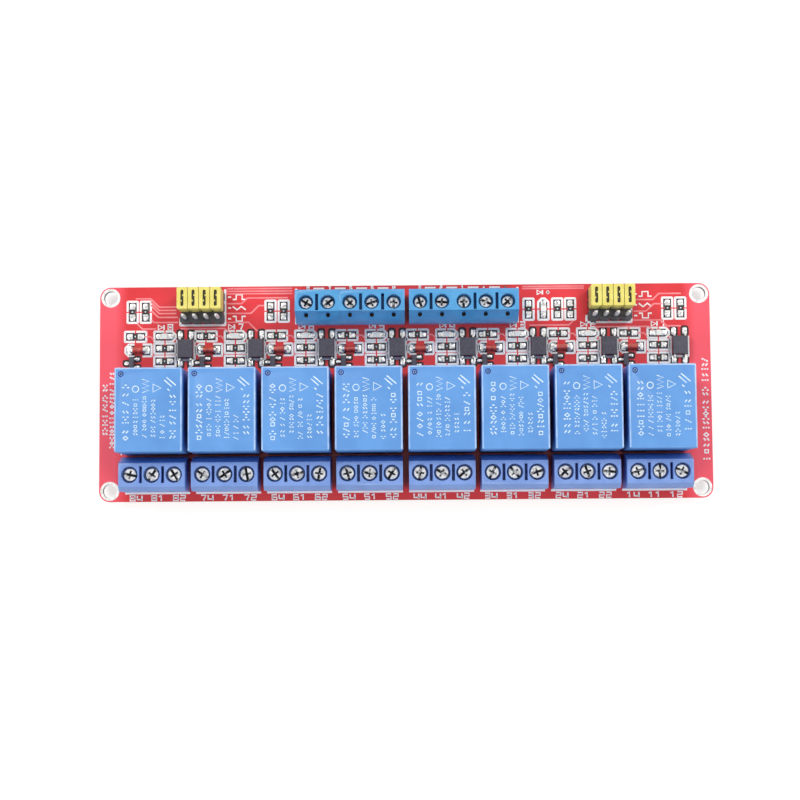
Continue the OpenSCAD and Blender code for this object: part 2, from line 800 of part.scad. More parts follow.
module led_ends() {
    color([0.85, 0.8, 0.6]) on_board() at_leds() chip_ends(led_base_h);
}

module led_lenses() {
    a = led_lens_l / 2;
    b = a - led_lens_draft;
    h = led_h - led_base_h;
    color([0.95, 0.95, 0.85]) on_board() at_leds()
        translate([0, 0, led_base_h - chip_end_t]) along_y(chip_w)
            polygon([[-a, 0], [a, 0], [b, h], [-b, h]]);
}

module diode_axis(x) {
    translate([x, 0, diode_d / 2 + chip_end_t]) rotate([0, 90, 0]) children();
}

module diode_glasses() {
    color([0.85, 0.35, 0.2]) on_board() at_channels() translate(CELL_DIODE)
        diode_axis(-diode_l / 2 + chip_end_t) cylinder(d = diode_d, h = diode_l - 2 * chip_end_t);
}

module diode_ends() {
    color("silver") on_board() at_channels() translate(CELL_DIODE) difference() {
        for (x = [-diode_l / 2, diode_l / 2 - diode_end_l])
            diode_axis(x) cylinder(d = diode_d + 2 * chip_end_t, h = diode_end_l);
        diode_axis(-diode_l / 2 + chip_end_t)
            cylinder(d = diode_d + chip_end_t / 2, h = diode_l - 2 * chip_end_t);
    }
}

// Half-height hexagon of a moulded body, widest at its parting line
module body_profile(w, h) {
    a = w / 2;
    b = a - mould_draft;
    polygon([
        [-b, 0], [b, 0], [a, (h - lead_t) / 2], [a, (h + lead_t) / 2],
        [b, h], [-b, h], [-a, (h + lead_t) / 2], [-a, (h - lead_t) / 2]
    ]);
}

module moulded_body(l, w, h) {
    translate([0, 0, body_lift]) intersection() {
        along_y(w) body_profile(l, h);
        along_x(l) body_profile(w, h);
    }
}

// Bent lead that leaves a body at x = 0 and ends on the board at x = run
module gull_lead(run, h) {
    z = body_lift + (h - lead_t) / 2;
    shoulder = run * 0.25;
    knee = run * 0.45;
    slant = lead_t * 0.7;
    along_y(lead_w) polygon([
        [0, z], [shoulder, z], [knee, 0], [run, 0], [run, lead_t],
        [knee + slant, lead_t], [shoulder + slant, z + lead_t], [0, z + lead_t]
    ]);
}

module optocouplers() {
    color([0.2, 0.2, 0.23]) on_board() at_channels() translate(CELL_OPTO) difference() {
        moulded_body(opto_w, opto_l, opto_h);
        translate([-opto_w / 2 + opto_mark_inset, opto_l / 2 - opto_mark_inset,
                   body_lift + opto_h - opto_mark_depth])
            cylinder(d = opto_mark_d, h = opto_mark_depth + eps);
    }
}

module optocoupler_leads() {
    color("silver") on_board() at_channels() translate(CELL_OPTO)
        for (side = [-1, 1], x = [-1, 1])
            translate([x * opto_lead_pitch / 2, side * opto_l / 2, 0])
                rotate(side * 90) gull_lead((opto_span - opto_l) / 2, opto_h);
}

module transistors() {
    color([0.12, 0.12, 0.14]) on_board() at_channels() translate(CELL_TRANSISTOR)
        moulded_body(transistor_w, transistor_l, transistor_h);
}

module transistor_leads() {
    run = (transistor_span - transistor_w) / 2;
    color("silver") on_board() at_channels() translate(CELL_TRANSISTOR) {
        for (y = [-1, 1]) translate([transistor_w / 2, y * transistor_lead_pitch / 2, 0])
            gull_lead(run, transistor_h);
        translate([-transistor_w / 2, 0, 0]) rotate(180) gull_lead(run, transistor_h);
    }
}

// ---------- solder ----------

module solder_cone(pin_d) {
    r = pin_d / 2 + hole_clear + solder_flow;
    translate([0, 0, -solder_h]) cylinder(r1 = r * solder_top_share, r2 = r, h = solder_h);
}

module solder_joint(pin_d) {
    difference() {
        solder_cone(pin_d);
        translate([0, 0, -solder_h - eps]) cylinder(d = pin_d + 2 * fit, h = solder_h + 2 * eps);
    }
}

module solder_joint_square(w, t) {
    difference() {
        solder_cone(w);
        translate([0, 0, -solder_h - eps]) post(w + 2 * fit, t + 2 * fit, solder_h + 2 * eps);
    }
}

module solder_joints() {
    color("lightgray") {
        at_out_poles() solder_joint(terminal_pin_d);
        at_in_poles() solder_joint(terminal_pin_d);
        at_header_pins() solder_joint_square(header_pin_w, header_pin_w);
        at_channels() for (p = RELAY_PINS)
            translate([p[0], relay_y + p[1], 0]) solder_joint_square(p[2], relay_pin_t);
    }
}

// ---------- nodes ----------

pcb();
mounting_pads();
for (n = [1:channels]) {
    relay_cover(n);
    output_terminal(n);
    jumper_cap(n);
    jumper_clip(n);
}
for (n = [1:4])
    input_terminal(n);
relay_bases();
relay_pins();
output_screws();
input_screws();
wire_cages();
terminal_pins();
pin_header(header_left_x);  // pin_header_left
pin_header(header_right_x);  // pin_header_right
header_pins();
optocouplers();
optocoupler_leads();
resistor_bodies();
resistor_ends();
led_bases();
led_lenses();
led_ends();
diode_glasses();
diode_ends();
transistors();
transistor_leads();
solder_joints();
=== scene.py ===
import math
import random

import bmesh
import bpy
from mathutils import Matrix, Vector

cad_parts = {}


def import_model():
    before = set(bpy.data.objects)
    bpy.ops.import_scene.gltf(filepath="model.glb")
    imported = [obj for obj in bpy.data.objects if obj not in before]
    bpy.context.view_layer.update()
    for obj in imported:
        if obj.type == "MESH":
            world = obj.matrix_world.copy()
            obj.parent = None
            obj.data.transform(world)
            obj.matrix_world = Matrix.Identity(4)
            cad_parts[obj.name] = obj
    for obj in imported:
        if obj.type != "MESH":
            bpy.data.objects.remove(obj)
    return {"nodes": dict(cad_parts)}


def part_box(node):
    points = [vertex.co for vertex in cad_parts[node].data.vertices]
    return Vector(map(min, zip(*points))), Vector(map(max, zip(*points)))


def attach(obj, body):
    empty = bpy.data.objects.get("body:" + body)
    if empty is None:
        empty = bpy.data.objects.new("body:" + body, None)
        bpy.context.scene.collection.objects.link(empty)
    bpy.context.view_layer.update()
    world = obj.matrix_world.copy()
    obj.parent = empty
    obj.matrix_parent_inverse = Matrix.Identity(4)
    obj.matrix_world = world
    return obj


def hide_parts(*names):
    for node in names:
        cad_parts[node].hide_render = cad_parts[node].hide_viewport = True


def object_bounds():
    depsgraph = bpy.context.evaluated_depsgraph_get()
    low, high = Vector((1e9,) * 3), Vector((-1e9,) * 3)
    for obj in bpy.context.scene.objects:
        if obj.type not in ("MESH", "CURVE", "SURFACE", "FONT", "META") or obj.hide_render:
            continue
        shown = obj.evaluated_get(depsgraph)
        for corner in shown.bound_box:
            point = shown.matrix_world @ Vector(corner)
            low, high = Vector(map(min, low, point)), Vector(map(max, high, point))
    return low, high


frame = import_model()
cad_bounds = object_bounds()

MM = 0.001
SAME_PLACE = 0.0005 * MM        # corners closer than this are one
CHANNELS = range(1, 9)
INPUT_BLOCKS = range(1, 5)
BOARD = "board"


# ---------- places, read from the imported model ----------

def solids(node):
    """The box of each separate solid in a CAD node, as (low, high) pairs from left to right."""
    bm = bmesh.new()
    bm.from_mesh(frame["nodes"][node].data)
    bmesh.ops.remove_doubles(bm, verts=bm.verts, dist=SAME_PLACE)
    left = set(bm.verts)
    boxes = []
    while left:
        island, edge = set(), [left.pop()]
        while edge:
            vert = edge.pop()
            island.add(vert)
            near = {e.other_vert(vert) for e in vert.link_edges} & left
            left -= near
            edge.extend(near)
        low = Vector([min(v.co[i] for v in island) for i in range(3)])
        high = Vector([max(v.co[i] for v in island) for i in range(3)])
        boxes.append((low, high))
    bm.free()
    return sorted(boxes, key=lambda b: (round(b[0].x, 5), round(b[0].y, 5)))


def corners(node):
    """The low and the high corner of a CAD node's box."""
    low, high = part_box(node)
    return Vector(low), Vector(high)


def middle(box):
    return (box[0] + box[1]) / 2


board_low, board_high = corners("pcb")
board_top = board_high.z
relays = [corners(f"relay_cover_{n}") for n in CHANNELS]
outputs = [corners(f"output_terminal_{n}") for n in CHANNELS]
inputs = [corners(f"input_terminal_{n}") for n in INPUT_BLOCKS]
headers = [corners("pin_header_left"), corners("pin_header_right")]


# ---------- camera and lamps ----------

CAMERA_PLACE = Vector((-0.06, -32.62, 392.75)) * MM      # from the middle of the top face
CAMERA_TURN = (4.481, 0.207, -0.431)                     # degrees about X, Y and Z
LENS, SENSOR = 76.4, 36                                  # mm
SOFTBOX_SIZE = 0.45                                      # metres across


def place_camera():
    data = bpy.data.cameras.new("Camera")
    data.lens = LENS
    data.sensor_width = SENSOR
    data.clip_start = 10 * MM
    camera = bpy.data.objects.new("Camera", data)
    bpy.context.scene.collection.objects.link(camera)
    camera.location = CAMERA_PLACE + Vector((0, 0, board_top))
    camera.rotation_euler = [math.radians(turn) for turn in CAMERA_TURN]
    bpy.context.scene.camera = camera


def softbox(name, place, aim, power):
    data = bpy.data.lights.new(name, "AREA")
    data.shape = "DISK"
    data.size = SOFTBOX_SIZE
    data.energy = power
    lamp = bpy.data.objects.new(name, data)
    bpy.context.scene.collection.objects.link(lamp)
    lamp.location = place
    lamp.rotation_mode = "QUATERNION"
    lamp.rotation_quaternion = (Vector(aim) - Vector(place)).to_track_quat("-Z", "Y")


# ---------- colours, nodes and meshes ----------

def paint(code):
    """An sRGB hex colour as the linear RGBA that Blender works in."""
    levels = [int(code[i:i + 2], 16) / 255 for i in (1, 3, 5)]
    return [c / 12.92 if c <= 0.04045 else ((c + 0.055) / 1.055) ** 2.4 for c in levels] + [1]


def add(tree, kind, inputs=None, **settings):
    """Adds a node with its settings; an input is given a value or another node's output."""
    made = tree.nodes.new(kind)
    for name, value in settings.items():
        setattr(made, name, value)
    for name, value in (inputs or {}).items():
        if isinstance(value, bpy.types.NodeSocket):
            tree.links.new(value, made.inputs[name])
        else:
            made.inputs[name].default_value = value
    return made


def per_mm(count):
    """A texture scale that repeats count times in a millimetre."""
    return count / MM


def new_finish(name, **shader):
    """A material whose Principled shader has the given values in its sockets."""
    mat = bpy.data.materials.new(name)
    mat.use_nodes = True
    tree = mat.node_tree
    tree.nodes.clear()
    body = add(tree, "ShaderNodeBsdfPrincipled", {k.replace("_", " "): v for k, v in shader.items()})
    add(tree, "ShaderNodeOutputMaterial", {"Surface": body.outputs[0]})
    return mat


def feed(mat, socket, output):
    """Links a node's output to a socket of the material's shader."""
    tree = mat.node_tree
    tree.links.new(output, tree.nodes["Principled BSDF"].inputs[socket])


def place_in(tree):
    """The piece's own coordinates, in metres."""
    return add(tree, "ShaderNodeTexCoord").outputs["Object"]


def mottle(mat, light, dark, scale, detail=3.0):
    """Lets the base colour drift between two shades over patches of the given scale."""
    tree = mat.node_tree
    noise = add(tree, "ShaderNodeTexNoise", {"Vector": place_in(tree), "Scale": scale, "Detail": detail})
    ramp = add(tree, "ShaderNodeMapRange",
               {"Value": noise.outputs["Fac"], "From Min": 0.35, "From Max": 0.65})
    mix = add(tree, "ShaderNodeMix", {0: ramp.outputs[0], 6: paint(dark), 7: paint(light)},
              data_type="RGBA")
    feed(mat, "Base Color", mix.outputs[2])
    return mix.outputs[2]


def grain(mat, scale, height, stretch=(1, 1, 1)):
    """Raises a fine noise of the given scale by a height in metres."""
    tree = mat.node_tree
    coords = add(tree, "ShaderNodeMapping", {"Vector": place_in(tree), "Scale": stretch})
    noise = add(tree, "ShaderNodeTexNoise", {"Vector": coords.outputs[0], "Scale": scale})
    bump = add(tree, "ShaderNodeBump", {"Height": noise.outputs["Fac"], "Distance": height})
    feed(mat, "Normal", bump.outputs[0])


def uneven_gloss(mat, low, high, scale):
    """Lets the roughness drift between two values."""
    tree = mat.node_tree
    noise = add(tree, "ShaderNodeTexNoise", {"Vector": place_in(tree), "Scale": scale, "Detail": 4.0})
    rough = add(tree, "ShaderNodeMapRange",
                {"Value": noise.outputs["Fac"], "From Min": 0.3, "From Max": 0.7,
                 "To Min": low, "To Max": high})
    feed(mat, "Roughness", rough.outputs[0])


def link_object(name, mesh):
    obj = bpy.data.objects.new(name, mesh)
    bpy.context.scene.collection.objects.link(obj)
    return obj


def finished(obj, mat):
    """Puts one material on a piece, in every slot."""
    slots = obj.data.materials
    for i in range(len(slots)):
        slots[i] = mat
    if not slots:
        slots.append(mat)


def baked(obj):
    """Turns an object's modifiers into a plain mesh and removes them."""
    graph = bpy.context.evaluated_depsgraph_get()
    mesh = bpy.data.meshes.new_from_object(obj.evaluated_get(graph))
    old = obj.data
    obj.modifiers.clear()
    obj.data = mesh
    bpy.data.meshes.remove(old)


# ---------- materials ----------

def solder_mask():
    """Gloss red solder mask screened on glass-epoxy laminate: a smooth wet-looking red over a
    faint cloth weave, with painted light that makes it paler at the short ends, and straw-coloured where
    it was routed."""
    mat = new_finish("Solder mask on glass epoxy", Roughness=0.3, IOR=1.52)
    tree = mat.node_tree
    red = mottle(mat, "#E7373F", "#DC2A32", per_mm(0.06))
    normal = add(tree, "ShaderNodeNewGeometry").outputs["Normal"]
    upright = add(tree, "ShaderNodeSeparateXYZ", {0: normal}).outputs["Z"]
    level = add(tree, "ShaderNodeMath", {0: upright}, operation="ABSOLUTE").outputs[0]
    face = add(tree, "ShaderNodeMath", {0: level, 1: 0.5}, operation="GREATER_THAN").outputs[0]
    along = add(tree, "ShaderNodeSeparateXYZ", {0: place_in(tree)}).outputs["X"]
    reach = add(tree, "ShaderNodeMath", {0: along}, operation="ABSOLUTE").outputs[0]
    # painted light: from 6.5 mm to 3.5 mm inside each short end the red ramps to a paler red, as if the
    # margins were lit more
    painted_light_from, painted_light_full = board_high.x - 6.5 * MM, board_high.x - 3.5 * MM
    thin = add(tree, "ShaderNodeMapRange",
               {"Value": reach, "From Min": painted_light_from, "From Max": painted_light_full})
    mask = add(tree, "ShaderNodeMix", {0: thin.outputs[0], 6: red, 7: paint("#FF5B6B")},
               data_type="RGBA")
    edge = add(tree, "ShaderNodeMix", {0: face, 6: paint("#C9B27A"), 7: mask.outputs[2]}, data_type="RGBA")
    feed(mat, "Base Color", edge.outputs[2])
    # cloth threads print through the resin, drawn 1 mm apart: the real 0.5 mm is too fine to show
    warp, weft = (add(tree, "ShaderNodeTexWave",
                      {"Vector": place_in(tree), "Scale": per_mm(0.32)}, bands_direction=way)
                  for way in ("X", "Y"))
    cloth = add(tree, "ShaderNodeMath", {0: warp.outputs["Fac"], 1: weft.outputs["Fac"]}, operation="ADD")
    bump = add(tree, "ShaderNodeBump", {"Height": cloth.outputs[0], "Distance": 0.004 * MM})
    feed(mat, "Normal", bump.outputs[0])
    return mat


def masked_copper():
    """Copper track under the solder mask: a raised line, lighter than the mask on laminate."""
    mat = new_finish("Copper track under solder mask", Roughness=0.3, IOR=1.52)
    mottle(mat, "#FF9DA0", "#FA838A", per_mm(0.3))
    return mat


def legend_ink():
    """White epoxy legend ink, screened on: matt, with a faint drift in its white."""
    mat = new_finish("White epoxy legend ink", Roughness=0.55)
    mottle(mat, "#FFFFFF", "#FAF7F7", per_mm(1.2))
    return mat


def tin():
    """Hot-levelled tin on copper pads and leads: bright, with soft uneven hollows."""
    mat = new_finish("Tin plating", Metallic=1.0)
    mottle(mat, "#E4E3E0", "#C6C5C3", per_mm(1.5))
    uneven_gloss(mat, 0.18, 0.4, per_mm(2))
    grain(mat, per_mm(1.6), 0.03 * MM)
    return mat


def plated_hole():
    """Tinned lands round the mounting holes, with the barrel through the board painted dull grey as shade.
    """
    mat = new_finish("Tinned land and barrel", Metallic=1.0)
    tree = mat.node_tree
    land = mottle(mat, "#F0EFED", "#D2D1CF", per_mm(1.2))
    # painted shade: within the board's thickness the barrel is dark grey
    height = add(tree, "ShaderNodeSeparateXYZ", {0: place_in(tree)}).outputs["Z"]
    half = (board_top - board_low.z) / 2
    inside = add(tree, "ShaderNodeMath", {0: height, 1: board_low.z + half, 2: half - 0.02 * MM},
                 operation="COMPARE")
    shade = add(tree, "ShaderNodeMix", {0: inside.outputs[0], 6: land, 7: paint("#4B4644")},
                data_type="RGBA")
    feed(mat, "Base Color", shade.outputs[2])
    uneven_gloss(mat, 0.22, 0.42, per_mm(1.5))
    grain(mat, per_mm(1.2), 0.02 * MM)
    return mat


def solder():
    """Solder that froze in cones round the pins: bright, rippled."""
    mat = new_finish("Solder", Metallic=1.0)
    mottle(mat, "#FAFAF8", "#9A9A9C", per_mm(1.7))
    uneven_gloss(mat, 0.2, 0.45, per_mm(1.5))
    grain(mat, per_mm(1.3), 0.14 * MM)
    return mat


def relay_plastic():
    """Glass-filled PBT of the relay covers, moulded: sky blue with a satin skin."""
    mat = new_finish("Moulded PBT, relay blue", IOR=1.5)
    mottle(mat, "#659FE1", "#5D95D7", per_mm(0.15))
    uneven_gloss(mat, 0.34, 0.44, per_mm(0.4))
    grain(mat, per_mm(4), 0.004 * MM)
    return mat


def relay_edge():
    """Painted highlight on the covers' rounded edges: a pale blue."""
    mat = new_finish("Rubbed edge of moulded PBT", Roughness=0.3, IOR=1.5)
    mottle(mat, "#C6DEFC", "#9CC3F4", per_mm(0.5))
    return mat


def vent_shade():
    """The ring groove of the sealed vent in each cover, painted a deep navy as shade."""
    mat = new_finish("Dirty vent groove", Roughness=0.6)
    mottle(mat, "#2C56AE", "#1B3878", per_mm(1.5))
    return mat


def relay_ink():
    """Pad-printed white ink on the relay covers: thin, so the blue shows through."""
    mat = new_finish("Pad-printed white ink", Roughness=0.5)
    mottle(mat, "#EAF6F8", "#BBDCF2", per_mm(1.6), detail=4.0)
    return mat


def terminal_plastic(shade, light, dark):
    """Polyamide of the screw terminals, moulded: an even colour with a satin skin."""
    mat = new_finish(f"Moulded polyamide, {shade}", IOR=1.53)
    mottle(mat, light, dark, per_mm(0.3))
    uneven_gloss(mat, 0.3, 0.42, per_mm(0.6))
    grain(mat, per_mm(5), 0.004 * MM)
    return mat


def zinc(name, face_z):
    """Bright zinc on steel screws: a cool silver face, scuffed by the driver, with painted shade
    in the slots and down the sides, broken in patches, which leaves them nearly black."""
    mat = new_finish(f"Bright zinc on steel, {name} screws", Metallic=1.0)
    tree = mat.node_tree
    bright = mottle(mat, "#E6E7E8", "#A9ABB0", per_mm(1.6), detail=5.0)
    height = add(tree, "ShaderNodeSeparateXYZ", {0: place_in(tree)}).outputs["Z"]
    # painted shade: below the head's face the colour turns near black, except in random patches
    shaded_below, unshaded_above = face_z - 0.28 * MM, face_z - 0.12 * MM
    on_face = add(tree, "ShaderNodeMapRange",
                  {"Value": height, "From Min": shaded_below, "From Max": unshaded_above})
    patches = add(tree, "ShaderNodeTexNoise",
                  {"Vector": place_in(tree), "Scale": per_mm(1.1), "Detail": 3.0})
    unshaded_patches = add(tree, "ShaderNodeMapRange",
                {"Value": patches.outputs["Fac"], "From Min": 0.5, "From Max": 0.62, "To Max": 0.7})
    unshaded = add(tree, "ShaderNodeMath", {0: on_face.outputs[0], 1: unshaded_patches.outputs[0]}, operation="MAXIMUM")
    painted_shade = add(tree, "ShaderNodeMix", {0: unshaded.outputs[0], 6: paint("#1E2026"), 7: bright},
                data_type="RGBA")
    feed(mat, "Base Color", painted_shade.outputs[2])
    uneven_gloss(mat, 0.2, 0.42, per_mm(1.4))
    grain(mat, per_mm(2.5), 0.04 * MM)
    return mat


def cage_steel():
    """Zinc on the folded steel cages: grey, satin, seen only down the wire entries."""
    mat = new_finish("Zinc on folded steel", Metallic=1.0)
    mottle(mat, "#A6A8AA", "#808286", per_mm(1.2))
    uneven_gloss(mat, 0.3, 0.5, per_mm(1.4))
    return mat


def brass():
    """Brass contact strips, tarnished in their chambers: dull brown-gold."""
    mat = new_finish("Tarnished brass strip", Metallic=1.0)
    mottle(mat, "#7A6844", "#4E4230", per_mm(1.5))
    uneven_gloss(mat, 0.35, 0.55, per_mm(2))
    return mat


def jumper_plastic():
    """Yellow PBT of the jumper caps, moulded: soft satin, slightly translucent."""
    mat = new_finish("Moulded PBT, yellow", Roughness=0.42, Subsurface_Weight=0.15,
                     Subsurface_Radius=(0.0006, 0.0005, 0.0002))
    mottle(mat, "#F0E47E", "#E6D86C", per_mm(0.4))
    grain(mat, per_mm(5), 0.004 * MM)
    return mat


def header_plastic():
    """Black glass-filled polyamide of the pin headers: dark grey, satin."""
    mat = new_finish("Moulded polyamide, black", Roughness=0.42)
    mottle(mat, "#3C3B40", "#2D2C31", per_mm(0.8))
    grain(mat, per_mm(5), 0.006 * MM)
    return mat


def base_plastic():
    """Dark phenolic base under each relay, sealed with resin."""
    mat = new_finish("Phenolic base", Roughness=0.5)
    mottle(mat, "#23304F", "#1B2540", per_mm(0.5))
    grain(mat, per_mm(2), 0.02 * MM)
    return mat


def pin_tin():
    """Bright tin on the headers' square brass pins: a white metal, smooth."""
    mat = new_finish("Bright tin on brass", Metallic=0.25, Roughness=0.45)
    mottle(mat, "#FFFFFF", "#F0EEE8", per_mm(1.5))
    grain(mat, per_mm(2), 0.008 * MM, stretch=(1, 1, 0.1))
    return mat


def bronze():
    """Phosphor bronze strip of the jumper clips: rolled, warm brown metal."""
    mat = new_finish("Rolled phosphor bronze", Metallic=1.0, Roughness=0.3)
    mottle(mat, "#8E7244", "#6E5832", per_mm(1.0))
    grain(mat, per_mm(3), 0.006 * MM, stretch=(0.1, 1, 1))
    return mat


def moulding_compound():
    """Epoxy moulding compound of the optocouplers and transistors: dark grey, matt, with the
    glitter of its silica filler."""
    mat = new_finish("Epoxy moulding compound", IOR=1.55)
    mottle(mat, "#4F4B57", "#3F3C47", per_mm(2.0), detail=5.0)
    uneven_gloss(mat, 0.45, 0.65, per_mm(3))
    grain(mat, per_mm(6), 0.01 * MM)
    return mat


def resistor_glaze():
    """Thick-film resistor: a black glazed top on white alumina, which shows at the sides."""
    mat = new_finish("Glazed thick film on alumina", Roughness=0.3)
    tree = mat.node_tree
    black = mottle(mat, "#2B2B30", "#1C1C20", per_mm(2.0))
    normal = add(tree, "ShaderNodeNewGeometry").outputs["Normal"]
    upright = add(tree, "ShaderNodeSeparateXYZ", {0: normal}).outputs["Z"]
    face = add(tree, "ShaderNodeMath", {0: upright, 1: 0.5}, operation="GREATER_THAN").outputs[0]
    side = add(tree, "ShaderNodeMix", {0: face, 6: paint("#E9E7E2"), 7: black}, data_type="RGBA")
    feed(mat, "Base Color", side.outputs[2])
    return mat


def bare_laminate():
    """Bare glass-epoxy in the clearance round each pad, where no mask lies, painted near black as shade
    round the solder.
    """
    mat = new_finish("Bare laminate", Roughness=0.55)
    mottle(mat, "#2E0C10", "#1E070B", per_mm(1.5))
    return mat


def window_shade():
    """A web inside a jumper's window, painted almost black as shade, with yellow left in patches."""
    mat = new_finish("Sooty moulded PBT", Roughness=0.6)
    mottle(mat, "#332B12", "#100D07", per_mm(1.3))
    return mat


def led_laminate():
    """White laminate base of the light-emitting diodes."""
    mat = new_finish("White laminate", Roughness=0.5)
    mottle(mat, "#F5F2E9", "#E6E1D4", per_mm(2.0))
    return mat


def led_resin():
    """Clear diffused epoxy over the light-emitting chip: milky, glossy."""
    mat = new_finish("Diffused clear epoxy", Roughness=0.18, IOR=1.54,
                     Subsurface_Weight=0.15, Subsurface_Radius=(0.0003, 0.0003, 0.0002))
    mottle(mat, "#FFFFFE", "#FAF9F2", per_mm(1.5))
    return mat


def diode_glass():
    """Glass tube of the diodes, over a red-brown junction: orange-red, wet gloss."""
    mat = new_finish("Glass diode tube", Roughness=0.06, IOR=1.5, Coat_Weight=1.0,
                     Coat_Roughness=0.04)
    mottle(mat, "#E2523C", "#B03024", per_mm(0.9))
    return mat


FINISHES = {
    # the board, its copper and its print
    "pcb": solder_mask(), "laminate_gap_and_shade": bare_laminate(), "track": masked_copper(),
    "tin": tin(), "land": plated_hole(), "solder": solder(), "ink": legend_ink(),
    # relays
    "relay": relay_plastic(), "relay_edge": relay_edge(), "relay_ink": relay_ink(),
    "vent": vent_shade(), "base": base_plastic(),
    # terminals
    "output": terminal_plastic("royal blue", "#7D9DDC", "#7393D2"),
    "output_zinc": zinc("output", corners("output_screws")[1].z),
    "input": terminal_plastic("cyan blue", "#55A4DA", "#4B99D2"),
    "input_zinc": zinc("input", corners("input_screws")[1].z),
    "cage": cage_steel(), "brass": brass(),
    # pin headers and jumper caps
    "header": header_plastic(), "pin_tin": pin_tin(),
    "jumper": jumper_plastic(), "bronze": bronze(), "shade": window_shade(),
    # small parts
    "compound": moulding_compound(), "resistor": resistor_glaze(), "glass": diode_glass(),
    "laminate": led_laminate(), "resin": led_resin(),
}

NODE_FINISH = {
    "pcb": "pcb", "mounting_pads": "land", "relay_bases": "base", "relay_pins": "tin",
    "output_screws": "output_zinc", "input_screws": "input_zinc", "wire_cages": "cage",
    "terminal_pins": "brass",
    "pin_header_left": "header", "pin_header_right": "header", "header_pins": "pin_tin",
    "optocouplers": "compound", "optocoupler_leads": "tin", "resistor_bodies": "resistor",
    "resistor_ends": "tin", "led_bases": "laminate", "led_lenses": "resin", "led_ends": "tin",
    "diode_glasses": "glass", "diode_ends": "tin", "transistors": "compound",
    "transistor_leads": "tin", "solder_joints": "solder",
}
for n in CHANNELS:
    NODE_FINISH[f"relay_cover_{n}"] = "relay"
    NODE_FINISH[f"output_terminal_{n}"] = "output"
    NODE_FINISH[f"jumper_cap_{n}"] = "jumper"
    NODE_FINISH[f"jumper_clip_{n}"] = "bronze"
for n in INPUT_BLOCKS:
    NODE_FINISH[f"input_terminal_{n}"] = "input"

for name, key in NODE_FINISH.items():
    finished(frame["nodes"][name], FINISHES[key])


# ---------- moulded edges ----------

EDGE_R = 0.1 * MM               # rounds on the terminals
FINE_EDGE_R = 0.06 * MM         # rounds on the relay covers and the pin headers
CAP_EDGE_R = 0.08 * MM          # rounds on the jumper caps
FLAT_TO = 0.5                   # degrees: triangles that lean less make one face
SHARP_FROM = 32                 # degrees: edges that bend more are rounded
SMOOTH_TO = 40                  # degrees: edges that bend less are shaded smooth
HIGHLIGHT_LEANS = (12, 66)               # degrees from level: the part of a round that gets the painted highlight


def softened(node, body, radius, segments=3):
    """A copy of a CAD node with its sharp edges rounded, which stands for the node."""
    mesh = frame["nodes"][node].data.copy()
    bm = bmesh.new()
    bm.from_mesh(mesh)
    bmesh.ops.remove_doubles(bm, verts=bm.verts, dist=SAME_PLACE)
    bmesh.ops.dissolve_limit(bm, angle_limit=math.radians(FLAT_TO), verts=bm.verts, edges=bm.edges)
    bm.to_mesh(mesh)
    bm.free()
    piece = link_object(f"{node}_rounded", mesh)
    bevel = piece.modifiers.new("Rounded edges", "BEVEL")
    bevel.width = radius
    bevel.segments = segments
    bevel.limit_method = "ANGLE"
    bevel.angle_limit = math.radians(SHARP_FROM)
    baked(piece)
    piece.data.shade_smooth()
    piece.data.set_sharp_from_angle(angle=math.radians(SMOOTH_TO))
    finished(piece, FINISHES[NODE_FINISH[node]])
    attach(piece, body)
    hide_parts(node)
    return piece


def rub_edges(cover):
    """Paints a highlight on the rounds of a relay cover, but not at its front, which lies in shade."""
    cover.data.materials.append(FINISHES["relay_edge"])
    flattest, steepest = (math.cos(math.radians(lean)) for lean in HIGHLIGHT_LEANS)
    for face in cover.data.polygons:
        if steepest < face.normal.z < flattest and face.normal.y > -0.1:
            face.material_index = 1


for n in CHANNELS:
    softened(f"output_terminal_{n}", BOARD, EDGE_R)
    rub_edges(softened(f"relay_cover_{n}", BOARD, FINE_EDGE_R, segments=2))
    softened(f"jumper_cap_{n}", f"jumper_{n}", CAP_EDGE_R)
for n in INPUT_BLOCKS:
    softened(f"input_terminal_{n}", BOARD, EDGE_R)
for side in ("left", "right"):
    softened(f"pin_header_{side}", BOARD, FINE_EDGE_R, segments=2)


# ---------- Geometry Nodes: lines and repeated parts ----------

BEND_STEPS = 4                  # corners along each rounded bend of a line


def new_tree(name, inputs):
    """A Geometry Nodes tree with its named inputs, and its group input's outputs."""
    tree = bpy.data.node_groups.new(name, "GeometryNodeTree")
    for label, kind in inputs.items():
        tree.interface.new_socket(label, in_out="INPUT", socket_type="NodeSocket" + kind)
    tree.interface.new_socket("Mesh", in_out="OUTPUT", socket_type="NodeSocketGeometry")
    return tree, add(tree, "NodeGroupInput").outputs


def end_tree(tree, geometry, material):
    """Makes the geometry plain, gives it its material and ends the tree."""
    whole = add(tree, "GeometryNodeRealizeInstances", {0: geometry})
    done = add(tree, "GeometryNodeSetMaterial", {"Geometry": whole.outputs[0], "Material": material})
    add(tree, "NodeGroupOutput", {"Mesh": done.outputs[0]})
    return tree


def line_tree():
    """Turns every drawn line into a flat bar with rounded bends."""
    tree, given = new_tree("Flat line", {
        "Lines": "Geometry", "Width": "Float", "Height": "Float", "Bend radius": "Float",
        "Material": "Material"})
    curve = add(tree, "GeometryNodeMeshToCurve", {"Mesh": given["Lines"]})
    bend = add(tree, "GeometryNodeFilletCurve",
               {"Curve": curve.outputs[0], "Radius": given["Bend radius"], "Limit Radius": True,
                "Count": BEND_STEPS}, mode="POLY")
    up = add(tree, "GeometryNodeSetCurveNormal", {"Curve": bend.outputs[0]}, mode="Z_UP")
    section = add(tree, "GeometryNodeCurvePrimitiveQuadrilateral",
                  {"Width": given["Width"], "Height": given["Height"]})
    bar = add(tree, "GeometryNodeCurveToMesh",
              {"Curve": up.outputs[0], "Profile Curve": section.outputs[0], "Fill Caps": True})
    flat = add(tree, "GeometryNodeSetShadeSmooth", {"Geometry": bar.outputs[0], "Shade Smooth": False})
    return end_tree(tree, flat.outputs[0], given["Material"])


